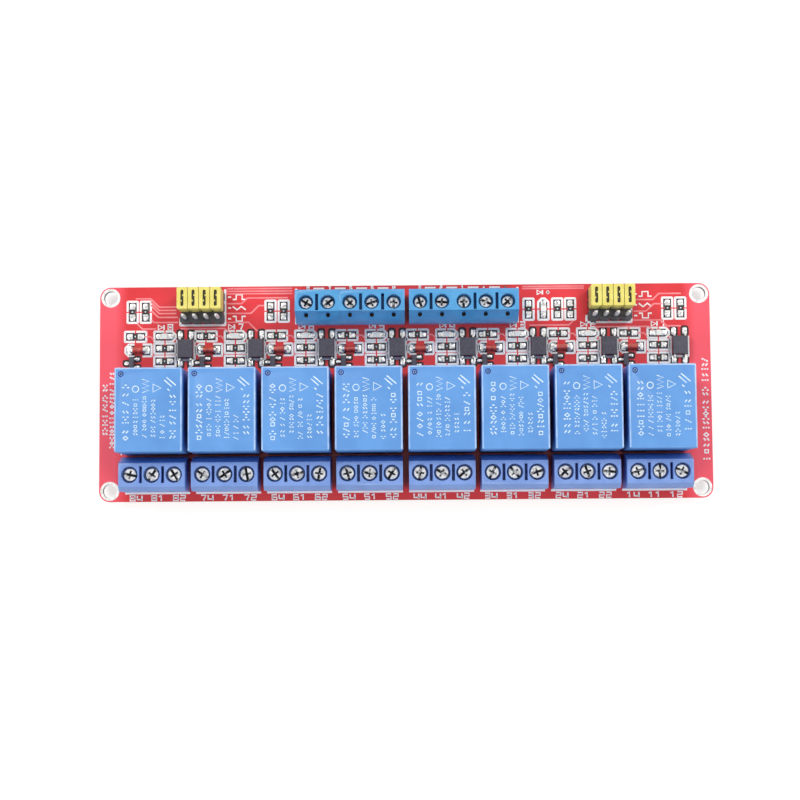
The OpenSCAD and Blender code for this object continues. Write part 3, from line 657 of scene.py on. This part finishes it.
def repeat_tree():
    """Puts a pattern part at every point, sized by the point's own size."""
    tree, given = new_tree("Repeated part", {
        "Places": "Geometry", "Part": "Object", "Material": "Material"})
    part = add(tree, "GeometryNodeObjectInfo", {"Object": given["Part"], "As Instance": True})
    size = add(tree, "GeometryNodeInputNamedAttribute", {"Name": "size"}, data_type="FLOAT_VECTOR")
    many = add(tree, "GeometryNodeInstanceOnPoints",
               {"Points": given["Places"], "Instance": part.outputs["Geometry"],
                "Scale": size.outputs[0]})
    return end_tree(tree, many.outputs[0], given["Material"])


LINE_TREE = line_tree()
REPEAT_TREE = repeat_tree()


def grown(name, mesh, tree, inputs, finish, body=BOARD):
    """Runs a tree over a mesh, keeps the plain result and hangs it on its body."""
    piece = link_object(name, mesh)
    modifier = piece.modifiers.new(tree.name, "NODES")
    modifier.node_group = tree
    values = {**inputs, "Material": FINISHES[finish]}
    for item in tree.interface.items_tree:
        if item.in_out == "INPUT" and item.name in values:
            modifier[item.identifier] = values[item.name]
    baked(piece)
    finished(piece, FINISHES[finish])
    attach(piece, body)


def flat_lines(name, paths, width, height, z, finish, bend=0.0):
    """Bars along paths at height z. A path is a list of points, closed if its ends meet."""
    verts, edges = [], []
    for path in paths:
        closed = len(path) > 2 and math.dist(path[0], path[-1]) < SAME_PLACE
        points = path[:-1] if closed else path
        first = len(verts)
        verts.extend((p[0], p[1], z + height / 2) for p in points)
        edges.extend((first + i, first + i + 1) for i in range(len(points) - 1))
        if closed:
            edges.append((first + len(points) - 1, first))
    mesh = bpy.data.meshes.new(name)
    mesh.from_pydata(verts, edges, [])
    grown(name, mesh, LINE_TREE, {"Width": width, "Height": height, "Bend radius": bend}, finish)


def repeated(name, pattern, places, finish, body=BOARD):
    """A pattern mesh at each (x, y, z, size) place."""
    mesh = bpy.data.meshes.new(name)
    mesh.from_pydata([place[:3] for place in places], [], [])
    sizes = mesh.attributes.new("size", "FLOAT_VECTOR", "POINT")
    for value, place in zip(sizes.data, places):
        value.vector = place[3]
    part = bpy.data.objects.new(pattern.name, pattern)
    grown(name, mesh, REPEAT_TREE, {"Part": part}, finish, body)
    bpy.data.objects.remove(part)


# ---------- pattern parts ----------

def band(bm, low, high):
    """Faces from one loop of corners to the next."""
    for k in range(len(low)):
        j = (k + 1) % len(low)
        bm.faces.new((low[k], low[j], high[j], high[k]))


def pattern_mesh(bm, name):
    """Ends an edit with a plain mesh of its own."""
    mesh = bpy.data.meshes.new(name)
    bm.to_mesh(mesh)
    bm.free()
    return mesh


def solder_dome():
    """A pillow of solder one unit wide, long and high, flat underneath, with soft corners."""
    levels, around = 5, 20
    squareness = 4                      # 2 would give a round plan
    fullness, rise = 0.6, 0.8           # 1 and 1 would give a round side
    bm = bmesh.new()
    loops = []
    for level in range(levels):
        up = level / levels * math.pi / 2
        loop = []
        for k in range(around):
            turn = 2 * math.pi * k / around
            c, s = math.cos(turn), math.sin(turn)
            square = (abs(c) ** squareness + abs(s) ** squareness) ** (-1 / squareness)
            reach = 0.5 * square * math.cos(up) ** fullness
            loop.append(bm.verts.new((reach * c, reach * s, math.sin(up) ** rise)))
        loops.append(loop)
    top = bm.verts.new((0, 0, 1))
    bm.faces.new(list(reversed(loops[0])))
    for low, high in zip(loops, loops[1:]):
        band(bm, low, high)
    for k in range(around):
        bm.faces.new((loops[-1][k], loops[-1][(k + 1) % around], top))
    mesh = pattern_mesh(bm, "solder_dome")
    mesh.shade_smooth()
    return mesh


def ring(hole):
    """A flat ring one unit across and high, whose hole takes the given share of its width."""
    sides = 32
    bm = bmesh.new()
    rims = []
    for radius, z in ((0.5, 0), (0.5, 1), (0.5 * hole, 1), (0.5 * hole, 0)):
        turns = [2 * math.pi * k / sides for k in range(sides)]
        rims.append([bm.verts.new((radius * math.cos(t), radius * math.sin(t), z)) for t in turns])
    for low, high in zip(rims, rims[1:] + rims[:1]):
        band(bm, low, high)
    return pattern_mesh(bm, "ring")


# ---------- solder on the surface pads ----------

SOLDER_H = 0.22 * MM            # solder above the board
MASK_GAP = 0.4                  # mm of bare laminate, painted dark as shade, left round a pad
MASK_GAP_H = 0.012 * MM

# pads in mm: how far they stand from the middle of a two-ended part, their width and length
TWO_ENDED_PADS = {"resistor_bodies": (1.25, 1.6, 1.35), "led_bases": (1.35, 1.5, 1.35),
                  "diode_glasses": (1.95, 1.4, 2.0)}

# pads in mm: where they stand from the middle of a part with leads, and their width and length
LEAD_PADS = {
    "optocouplers": ([(x, y) for x in (-1.27, 1.27) for y in (-3.35, 3.35)], (1.15, 1.9)),
    "transistors": ([(-1.25, 0), (1.25, 0.95), (1.25, -0.95)], (1.1, 0.85)),
}


def long_way(box):
    """Whether a box lies along X, and does not stand along Y."""
    low, high = box
    return high.x - low.x > high.y - low.y


def turned(dx, dy, along_x):
    """An offset drawn for a part along X, turned if the part stands along Y."""
    return (dx, dy) if along_x else (dy, dx)


def pad_places():
    """Each surface pad's x and y in metres, and its width and length in mm."""
    pads = []
    for node, (reach, wide, tall) in TWO_ENDED_PADS.items():
        for box in solids(node):
            c, along_x = middle(box), long_way(box)
            for side in (-1, 1):
                dx, dy = turned(side * reach, 0, along_x)
                pads.append((c.x + dx * MM, c.y + dy * MM, *turned(wide, tall, along_x)))
    for node, (leads, size) in LEAD_PADS.items():
        for c in map(middle, solids(node)):
            pads += [(c.x + dx * MM, c.y + dy * MM, *size) for dx, dy in leads]
    return pads


def add_pads():
    """Solder on every surface pad, in a clearance where the mask stops short of the copper, painted dark
    as shade.
    """
    pads, gaps = [], []
    for x, y, wide, tall in pad_places():
        pads.append((x, y, board_top, (wide * MM, tall * MM, SOLDER_H)))
        wide, tall = wide + 2 * MASK_GAP, tall + 2 * MASK_GAP
        gaps.append((x, y, board_top, (wide * MM, tall * MM, MASK_GAP_H)))
    repeated("solder_pads", solder_dome(), pads, "solder")
    repeated("mask_openings", solder_dome(), gaps, "laminate_gap_and_shade")


# ---------- print ----------

INK_T = 0.02 * MM               # thickness of the ink
INK_W = 0.5 * MM                # width of an outline
LABEL_W = 0.37 * MM             # width of a number's strokes
FINE_W = 0.21 * MM              # width of the covers' small print
BOLD_W = 0.27 * MM              # width of the covers' large print

# strokes of the numbers and signs, in cells two units wide and four high
DIGITS = {
    "1": [[(0, 3), (1, 4), (1, 0)]],
    "2": [[(0, 4), (2, 4), (2, 2), (0, 2), (0, 0), (2, 0)]],
    "3": [[(0, 4), (2, 4), (2, 0), (0, 0)], [(0, 2), (2, 2)]],
    "4": [[(0, 4), (0, 1), (2, 1)], [(2, 4), (2, 0)]],
    "5": [[(2, 4), (0, 4), (0, 2), (2, 2), (2, 0), (0, 0)]],
    "6": [[(2, 4), (0, 4), (0, 0), (2, 0), (2, 2), (0, 2)]],
    "7": [[(0, 4), (2, 4), (1, 0)]],
    "8": [[(0, 0), (2, 0), (2, 4), (0, 4), (0, 0)], [(0, 2), (2, 2)]],
    "+": [[(0, 2), (2, 2)], [(1, 3), (1, 1)]],
    "-": [[(0, 2), (2, 2)]],
}


def number(text, x, y, height, spread=1.0):
    """Strokes of a number centred on x, y, in metres, with its height and its spread along X."""
    unit = height / 4
    wide = unit * spread
    left = x - (3 * len(text) - 1) * wide / 2
    return [[(left + (3 * i + px) * wide, y + (py - 2) * unit) for px, py in stroke]
            for i, sign in enumerate(text) for stroke in DIGITS[sign]]


# outlines round the two-ended parts, in mm: length, width and the gap between their halves
CHIP_OUTLINE = (4.95, 2.35, 0.3)
DIODE_OUTLINE = (6.05, 2.75, 1.9)
CUT_CORNER = 0.8                # mm off the corners at the end that marks the polarity


def brackets(box, size, cuts=(0, 0)):
    """Two facing brackets round a part, with corners cut at its first and its second end."""
    c, along_x = middle(box), long_way(box)
    wide, tall, gap = size
    paths = []
    for side, cut in zip((-1, 1), cuts):
        corner = [(side * gap / 2, tall / 2), (side * (wide / 2 - cut), tall / 2)]
        if cut:
            corner.append((side * wide / 2, tall / 2 - cut))
        path = corner + [(px, -py) for px, py in reversed(corner)]
        paths.append([(c.x + dx * MM, c.y + dy * MM)
                      for dx, dy in (turned(px, py, along_x) for px, py in path)])
    return paths


def tray(left, right, front, left_back, right_back):
    """Three sides of an outline that is open at the back."""
    return [(left, left_back), (left, front), (right, front), (right, right_back)]


LEGEND_LINE = inputs[0][1].y + 1.55 * MM     # runs behind the input terminals


def part_outlines():
    """Outlines round the small parts and the headers, lines beside the input terminals, and a white line
    in front of each output terminal, which is a painted highlight of its front edge.
    """
    paths = []
    for box in solids("resistor_bodies"):
        paths += brackets(box, CHIP_OUTLINE)
    for box in solids("led_bases"):
        paths += brackets(box, CHIP_OUTLINE, (0, CUT_CORNER))
    for box in solids("diode_glasses"):
        paths += brackets(box, DIODE_OUTLINE, (CUT_CORNER, 0))
    half_wide, half_tall, short = 2.05 * MM, 2.5 * MM, 0.3 * MM
    for c in map(middle, solids("optocouplers")):
        back = c.y + half_tall - short
        paths.append(tray(c.x - half_wide, c.x + half_wide, c.y - half_tall, back, back))
    edge = 0.2 * MM
    for low, high in headers:
        paths.append(tray(low.x - edge, high.x + edge / 2, low.y - edge,
                          low.y + 1.5 * MM, high.y + 0.6 * MM))
    edge = 0.3 * MM
    lefts, rights = zip(*((low.x, high.x) for low, high in inputs))
    for x in (min(lefts) - edge, max(rights) + edge):
        paths.append([(x, LEGEND_LINE), (x, inputs[0][0].y + edge)])
    # painted highlight: a white line just in front of each output terminal, standing for the light on its
    # front edge
    for low, high in outputs:
        y = low.y - 0.2 * MM
        paths.append([(low.x, y), (high.x, y)])
    flat_lines("part_outlines", paths, INK_W, INK_T, board_top, "ink", 0.15 * MM)


CONTACTS = "412"                # normally open, common and normally closed, from left to right
INPUT_SIGNS = "87654321-+"      # the input poles, from left to right
HEADER_PITCH = 2.54 * MM

# signs beside a header's rows, in mm: a high pulse, a zigzag and a low pulse
LEVEL_SIGNS = (
    ((0, 0), (0.8, 0), (0.8, 1.1), (2.2, 1.1), (2.2, 0), (3, 0)),
    ((0, 0.9), (1, 0.1), (2, 0.9), (3, 0.1)),
    ((0, 1.1), (0.8, 1.1), (0.8, 0), (2.2, 0), (2.2, 1.1), (3, 1.1)),
)


def output_numbers():
    """The channel's and the contact's number in front of each output pole."""
    before, height, spread = 1.35 * MM, 1.2 * MM, 1.8
    paths = []
    for n, (low, high) in zip(CHANNELS, outputs):
        for i, contact in enumerate(CONTACTS):
            x = middle((low, high)).x + (i - 1) * (high.x - low.x) / 3
            paths += number(f"{n}{contact}", x, low.y - before, height, spread)
    return paths


def diode_sign(x, y, r):
    """The diode sign: a triangle that points at a bar."""
    triangle = [(x - r, y + r), (x + r, y), (x - r, y - r), (x - r, y + r)]
    bar = x + 1.45 * r
    return [triangle, [(bar, y + r), (bar, y - r)]]


def lamp_signs():
    """A diode sign and a number behind each channel's lamp, and a plus behind the power lamp."""
    lamps = solids("led_bases")
    paths = []
    for n, box in zip(reversed(CHANNELS), (box for box in lamps if long_way(box))):
        c = middle(box)
        y = c.y + 2.15 * MM
        paths += diode_sign(c.x - 1.05 * MM, y, 0.55 * MM)
        paths += number(str(n), c.x + 1.25 * MM, y, 1.3 * MM, 1.6)
    y = board_high.y - 1.9 * MM
    for c in (middle(box) for box in lamps if not long_way(box)):
        paths += diode_sign(c.x - 0.9 * MM, y, 0.5 * MM)
        paths += number("+", c.x + 1.1 * MM, y, 1.6 * MM)
    return paths


def level_signs():
    """A dash and a sign to the right of each row of the headers."""
    dash, space, half_tall = 0.7 * MM, 1.1 * MM, 0.55 * MM
    paths = []
    for low, high in headers:
        x, y = high.x + 0.75 * MM, (low.y + high.y) / 2
        for row, sign in zip((1, 0, -1), LEVEL_SIGNS):
            base = y + row * HEADER_PITCH
            paths.append([(x, base), (x + dash, base)])
            paths.append([(x + space + px * MM, base + py * MM - half_tall) for px, py in sign])
    return paths


def input_numbers():
    """Each input pole's number or sign, on the legend line, which breaks off beside it."""
    poles = sorted(middle(box).x for box in solids("input_screws"))
    clear, same_block = 1.25 * MM, 5.5 * MM
    paths = []
    for sign, x in zip(INPUT_SIGNS, poles):
        paths += number(sign, x, LEGEND_LINE, 0.85 * MM)
    for x, following in zip(poles, poles[1:]):
        if following - x < same_block:
            paths.append([(x + clear, LEGEND_LINE), (following - clear, LEGEND_LINE)])
    return paths


def board_labels():
    paths = output_numbers() + lamp_signs() + level_signs() + input_numbers()
    flat_lines("board_labels", paths, LABEL_W, INK_T, board_top, "ink")


# dots, slanting dashes, boxes and diamonds for a line of fine print, in a cell one unit high
FINE_SIGNS = (
    [[(0, 0.1), (0.35, 0.4)], [(0, 0.6), (0.35, 0.9)]],
    [[(0, 0.35), (0, 0.65)], [(0.35, 0), (0.35, 0.3)], [(0.35, 0.7), (0.35, 1)]],
    [[(0, 0.25), (0, 0.75), (0.45, 0.75), (0.45, 0.25), (0, 0.25)]],
    [[(0.1, 0.05), (0.1, 0.35)], [(0.1, 0.65), (0.1, 0.95)], [(0.45, 0.35), (0.45, 0.65)]],
    [[(0, 0.5), (0.27, 0.85), (0.54, 0.5), (0.27, 0.15), (0, 0.5)]],
    [[(0, 0.4), (0.35, 0.1)], [(0, 0.9), (0.35, 0.6)]],
    [[(0.1, 0), (0.1, 0.28)], [(0.1, 0.42), (0.1, 0.62)], [(0.1, 0.76), (0.1, 1)]],
    [[(0, 0.05), (0.12, 0.35)], [(0.15, 0.42), (0.27, 0.62)], [(0.3, 0.7), (0.42, 0.95)]],
)
SIGN_STEPS = (0.72, 0.78, 0.84, 1.2)         # from one sign to the next, in sign heights


def strokes(rng, x, top, bottom, height):
    """A column of small signs, lying on their sides, as a stand-in for fine print."""
    paths, y = [], top
    while y > bottom + 0.7 * height:
        for stroke in rng.choice(FINE_SIGNS):
            paths.append([(x + (py - 0.5) * height, y - px * height) for px, py in stroke])
        y -= height * rng.choice(SIGN_STEPS)
    return paths


def margin_print():
    """Columns of small signs on the board's short margins, and a dot beside them on each."""
    rng = random.Random(3)
    left, right = board_low.x, board_high.x
    columns = ((left + 1.3 * MM, 2.2, -10.8, 1.3), (left + 2.9 * MM, 5.0, -13.8, 1.2),
               (right - 1.4 * MM, 7.3, -18.0, 1.6))
    paths = []
    for x, top, bottom, height in columns:
        paths += strokes(rng, x, top * MM, bottom * MM, height * MM)
    half_dot = 0.15 * MM
    for x, y in ((right - 3.6 * MM, -13.3 * MM), (left + 5.1 * MM, -14.0 * MM)):
        paths.append([(x - half_dot, y), (x + half_dot, y)])
    flat_lines("margin_print", paths, LABEL_W, INK_T, board_top, "ink")


# print on a relay, in mm to the right and to the front of its left back corner;
# a column has its place across, its start and its end
FINE_COLUMNS = ((4.8, 7.2, 16.5), (6.8, 6.6, 16.6), (8.75, 7.3, 16.6), (10.8, 10.9, 16.9))
BOLD_COLUMNS = ((2.6, 4.0, 16.9), (13.1, 6.3, 16.8))
SLANTING_BARS = (((11.7, 2.3), (13.8, 4.1)), ((11.2, 2.9), (12.9, 4.4)), ((11.9, 4.9), (12.4, 5.3)))
TRIANGLE = ((8.7, 3.8), (10.5, 4.7), (8.7, 5.6), (8.7, 3.8))
COIL = tuple((6.3 + 1.5 * (k % 2), 2.7 + 0.5 * k) for k in range(7))
ROUND_SIGN = tuple((4.8 + 0.7 * math.cos(k * math.pi / 8), 4.9 + 0.7 * math.sin(k * math.pi / 8))
                   for k in range(17))


def relay_print():
    """Six columns of small signs on each relay, headed by larger ones."""
    rng = random.Random(8)
    fine, bold = [], []
    for low, high in relays:
        for paths, columns, height, signs in (
                (fine, FINE_COLUMNS, 1.2 * MM, (COIL, ROUND_SIGN)),
                (bold, BOLD_COLUMNS, 1.6 * MM, (*SLANTING_BARS, TRIANGLE))):
            for x, start, end in columns:
                start, end = high.y - start * MM, high.y - end * MM
                paths.extend(strokes(rng, low.x + x * MM, start, end, height))
            paths.extend([(low.x + x * MM, high.y - y * MM) for x, y in sign] for sign in signs)
    top = relays[0][1].z
    flat_lines("relay_print_fine", fine, FINE_W, INK_T, top, "relay_ink")
    flat_lines("relay_print_bold", bold, BOLD_W, INK_T, top, "relay_ink")


# ---------- tracks ----------

def track_routes():
    """The tracks on the top face, as points in mm from the board's middle."""
    routes = []
    # side by side to the left header; the first begins further out
    for k in range(3):
        start, y = -62.7 + 3.6 * min(k, 1), 22.3 - 0.75 * k
        routes.append([(start, y), (-59.2, y), (-57.2, y - 2), (-53.2, y - 2)])
    routes += [
        [(-59, 19.5), (-57.4, 17.9), (-52.8, 17.9)],
        [(-59, 17.3), (-58.4, 16.7), (-52.8, 16.7)],
        [(-62.4, 16.5), (-61.1, 15.2), (-57.9, 15.2)],
        [(-52.2, 15.2), (-42, 15.2), (-39.4, 13.2)],
        [(-41.4, 21), (-38, 21), (-36.6, 22.3), (-27.2, 22.3)],
        [(-41.4, 18.7), (-35.8, 18.7), (-34, 20.5), (-32.7, 20.5)],
        [(-41.4, 16.6), (-36.4, 16.6), (-34.3, 14.5)],
    ]
    # between the headers and the input terminals, along the back edge
    routes += [[(-41.4, y), (-26.2, y)] for y in (24.5, 23.9, 23.3)]
    routes += [[(27.4, y), (41.8, y)] for y in (24.5, 24)]
    # round the right header
    routes += [
        [(53.3, 21.2), (57.8, 21.2), (59.2, 22.6), (64.4, 22.6)],
        [(53.3, 18.5), (56.2, 18.5), (58, 20.2), (60, 20.2)],
        [(39.2, 16.4), (38.2, 15.4), (29, 15.4)],
        [(53.2, 16.4), (59.5, 16.4), (61, 15), (64.2, 15)],
        [(44.5, 14.9), (56.8, 14.9), (58.2, 13.6)],
    ]
    return routes


def tracks():
    """Copper tracks beside the headers, and a short one from each resistor along X in the strip
    of parts behind the relays."""
    paths = [[(x * MM, y * MM) for x, y in route] for route in track_routes()]
    strip_front = 12 * MM
    for box in solids("resistor_bodies"):
        if long_way(box) and box[0].y > strip_front:
            c = middle(box)
            paths.append([(c.x + dx * MM, c.y + dy * MM)
                          for dx, dy in ((2.1, 0), (3.5, 0), (4.3, -0.8))])
    flat_lines("copper_tracks", paths, 0.34 * MM, 0.03 * MM, board_top, "track", 0.3 * MM)


# ---------- underside ----------

RING_T = 0.04 * MM              # thickness of the rings and vias under the board
WIDE_TRACK = (2.2 * MM, 0.03 * MM, 1.3 * MM)        # width, thickness and bend radius
THIN_TRACK = (0.5 * MM, 0.025 * MM, 0.4 * MM)
COIL_BUS = relays[0][1].y + 0.8 * MM                # the coils' common track, behind the relays


def relay_routes(joints):
    """Wide tracks from each relay's contacts to its terminal, thin ones that join the coils."""
    wide, thin, coils = [], [], []
    for low, high in relays:
        own = sorted((j for j in joints if low.x < j.x < high.x and j.y < high.y), key=lambda j: j.y)
        poles, contacts, coil = (sorted(row, key=lambda j: j.x)
                                 for row in (own[:3], own[3:5], own[5:7]))
        for contact, pole in zip(contacts, (poles[0], poles[2])):
            wide.append([contact.xy, (contact.x, (contact.y + pole.y) / 2), pole.xy])
        wide.append([own[-1].xy, poles[1].xy])
        coils.append(coil[0].x)
        thin.append([coil[0].xy, (coil[0].x, COIL_BUS)])
    thin.append([(min(coils), COIL_BUS), (max(coils), COIL_BUS)])
    return wide, thin


def signal_routes(poles):
    """Thin tracks that fan out from the input poles, the outer ones nearest to them, each to
    a via behind its relay."""
    last = len(poles) - 1
    end = COIL_BUS + 3.5 * MM
    routes = []
    for k, (pole, relay) in enumerate(zip(poles, reversed(relays))):
        x = (relay[0].x + relay[1].x) / 2
        y = inputs[0][0].y - (0.4 + 0.9 * min(k, last - k)) * MM
        routes.append([pole.xy, (pole.x, y), (x, y), (x, end)])
    return routes


def supply_routes(poles, joints):
    """Wide tracks from the two supply poles to the right header's pins."""
    corner = headers[1][0]
    pins = [j for j in joints if j.x > corner.x and j.y > corner.y]
    front, back = min(pins, key=lambda j: j.x + j.y), min(pins, key=lambda j: j.x - j.y)
    return [[pole.xy, (pole.x + abs(pin.y - pole.y), pin.y), pin.xy]
            for pole, pin in zip(poles, (front, back))]


def underside():
    """Rings round the soldered pins, and the tracks between them."""
    boxes = solids("solder_joints")
    joints = [middle(box) for box in boxes]
    rings = []
    for (low, high), c in zip(boxes, joints):
        across = (high.x - low.x) + 0.7 * MM
        rings.append((c.x, c.y, board_low.z - RING_T, (across, across, RING_T)))
    left, right = headers[0][1].x, headers[1][0].x
    poles = sorted((j for j in joints if j.y > inputs[0][0].y and left < j.x < right), key=lambda j: j.x)
    signals = signal_routes(poles[:len(CHANNELS)])
    wide, thin = relay_routes(joints)
    wide += supply_routes(poles[len(CHANNELS):], joints)
    thin += signals
    via = (0.9 * MM, 0.9 * MM, RING_T)
    vias = [(*route[-1], board_low.z - RING_T, via) for route in signals]
    repeated("joint_rings", ring(0.6), rings, "tin")
    repeated("track_vias", ring(0.45), vias, "track")
    for name, routes, (width, height, bend) in (("wide_tracks", wide, WIDE_TRACK),
                                                ("thin_tracks", thin, THIN_TRACK)):
        flat_lines(name, routes, width, height, board_low.z - height, "track", bend)


# ---------- windows, vents and marks ----------

def jumper_windows():
    """A web across each jumper's window, just above the pins, painted almost black as shade, with two
    teeth over it.
    """
    web_depth, web = 0.32 * MM, (0.66 * MM, 3.7 * MM, 0.1 * MM)
    tooth_depth, tooth = 0.26 * MM, (0.3 * MM, 0.42 * MM, 0.2 * MM)
    aside, along = 0.2 * MM, 0.62 * MM
    for n in CHANNELS:
        low, high = corners(f"jumper_cap_{n}")
        c = middle((low, high))
        webs = [(c.x, c.y, high.z - web_depth, web)]
        teeth = [(c.x + side * aside, c.y + side * along, high.z - tooth_depth, tooth)
                 for side in (-1, 1)]
        repeated(f"jumper_window_{n}", solder_dome(), webs, "shade", f"jumper_{n}")
        repeated(f"jumper_teeth_{n}", solder_dome(), teeth, "jumper", f"jumper_{n}")


def relay_vents():
    """Painted shade in the ring groove and the pit of each relay's vent."""
    inset, depth = 1.5 * MM, 0.12 * MM
    groove, pit = (1.3 * MM, 1.3 * MM, 0.02 * MM), (0.42 * MM, 0.42 * MM, 0.05 * MM)
    places = [(low.x + inset, high.y - inset, high.z - depth) for low, high in relays]
    repeated("vent_rings", ring(0.62), [(*place, groove) for place in places], "vent")
    repeated("vent_pits", solder_dome(), [(*place, pit) for place in places], "shade")


def value_marks():
    """A white mark on the black face of each resistor."""
    half_long, width = 0.17 * MM, 0.24 * MM
    paths = []
    for box in solids("resistor_bodies"):
        c = middle(box)
        dx, dy = turned(0, half_long, long_way(box))
        paths.append([(c.x - dx, c.y - dy), (c.x + dx, c.y + dy)])
    top = corners("resistor_bodies")[1].z
    flat_lines("resistor_values", paths, width, INK_T, top, "ink")


add_pads()
jumper_windows()
relay_vents()
value_marks()
part_outlines()
board_labels()
margin_print()
relay_print()
tracks()
underside()


# ---------- floor, light and camera ----------

PAPER_GLOW = 0.62               # lifts the sheet to plain white for the camera
FILL_LIGHT = 0.27               # the room's own even light


def seen_plainly(tree):
    """1 for the rays that show the background: straight, mirrored or through glass."""
    path = add(tree, "ShaderNodeLightPath").outputs
    mirrored = add(tree, "ShaderNodeMath", {0: path["Is Camera Ray"], 1: path["Is Glossy Ray"]},
                   operation="MAXIMUM")
    plain = add(tree, "ShaderNodeMath", {0: mirrored.outputs[0], 1: path["Is Transmission Ray"]},
                operation="MAXIMUM")
    return plain.outputs[0]


def floor():
    """Plain white paper under the board: white to the camera, with the board's own soft shadow."""
    bpy.ops.mesh.primitive_plane_add(size=4, location=(0, 0, cad_bounds[0][2]))
    sheet = bpy.context.object
    sheet.name = "floor"
    mat = bpy.data.materials.new("White paper")
    mat.use_nodes = True
    tree = mat.node_tree
    tree.nodes.clear()
    paper = add(tree, "ShaderNodeBsdfDiffuse", {"Color": paint("#C8C8C8")})
    glow = add(tree, "ShaderNodeEmission", {"Color": paint("#FFFFFF"), "Strength": PAPER_GLOW})
    both = add(tree, "ShaderNodeAddShader", {0: paper.outputs[0], 1: glow.outputs[0]})
    mix = add(tree, "ShaderNodeMixShader",
              {0: seen_plainly(tree), 1: paper.outputs[0], 2: both.outputs[0]})
    add(tree, "ShaderNodeOutputMaterial", {"Surface": mix.outputs[0]})
    sheet.data.materials.append(mat)


def world():
    """A white room that lights the board softly, and is plain white where it is seen."""
    sky = bpy.data.worlds.new("Studio")
    bpy.context.scene.world = sky
    sky.use_nodes = True
    tree = sky.node_tree
    tree.nodes.clear()
    light = add(tree, "ShaderNodeBackground", {"Color": paint("#FFFFFF"), "Strength": FILL_LIGHT})
    white = add(tree, "ShaderNodeBackground", {"Color": paint("#FFFFFF"), "Strength": 1.0})
    mix = add(tree, "ShaderNodeMixShader",
              {0: seen_plainly(tree), 1: light.outputs[0], 2: white.outputs[0]})
    add(tree, "ShaderNodeOutputWorld", {"Surface": mix.outputs[0]})


# x, y and power of each softbox: all stand off both axes, so that none shines down the gaps
# between the parts
SOFTBOXES = {"Back left": (-0.6, 0.5, 4.3), "Back right": (0.6, 0.45, 4.1),
             "Front left": (-0.5, -0.6, 3.2), "Front right": (0.5, -0.6, 3.2)}
SOFTBOX_Z, SOFTBOX_AIM_X = 0.85, 0.03

place_camera()
floor()
world()
for name, (x, y, power) in SOFTBOXES.items():
    softbox(f"{name} softbox", (x, y, SOFTBOX_Z), (math.copysign(SOFTBOX_AIM_X, x), 0, 0), power)
bpy.context.scene.view_settings.view_transform = "Standard"
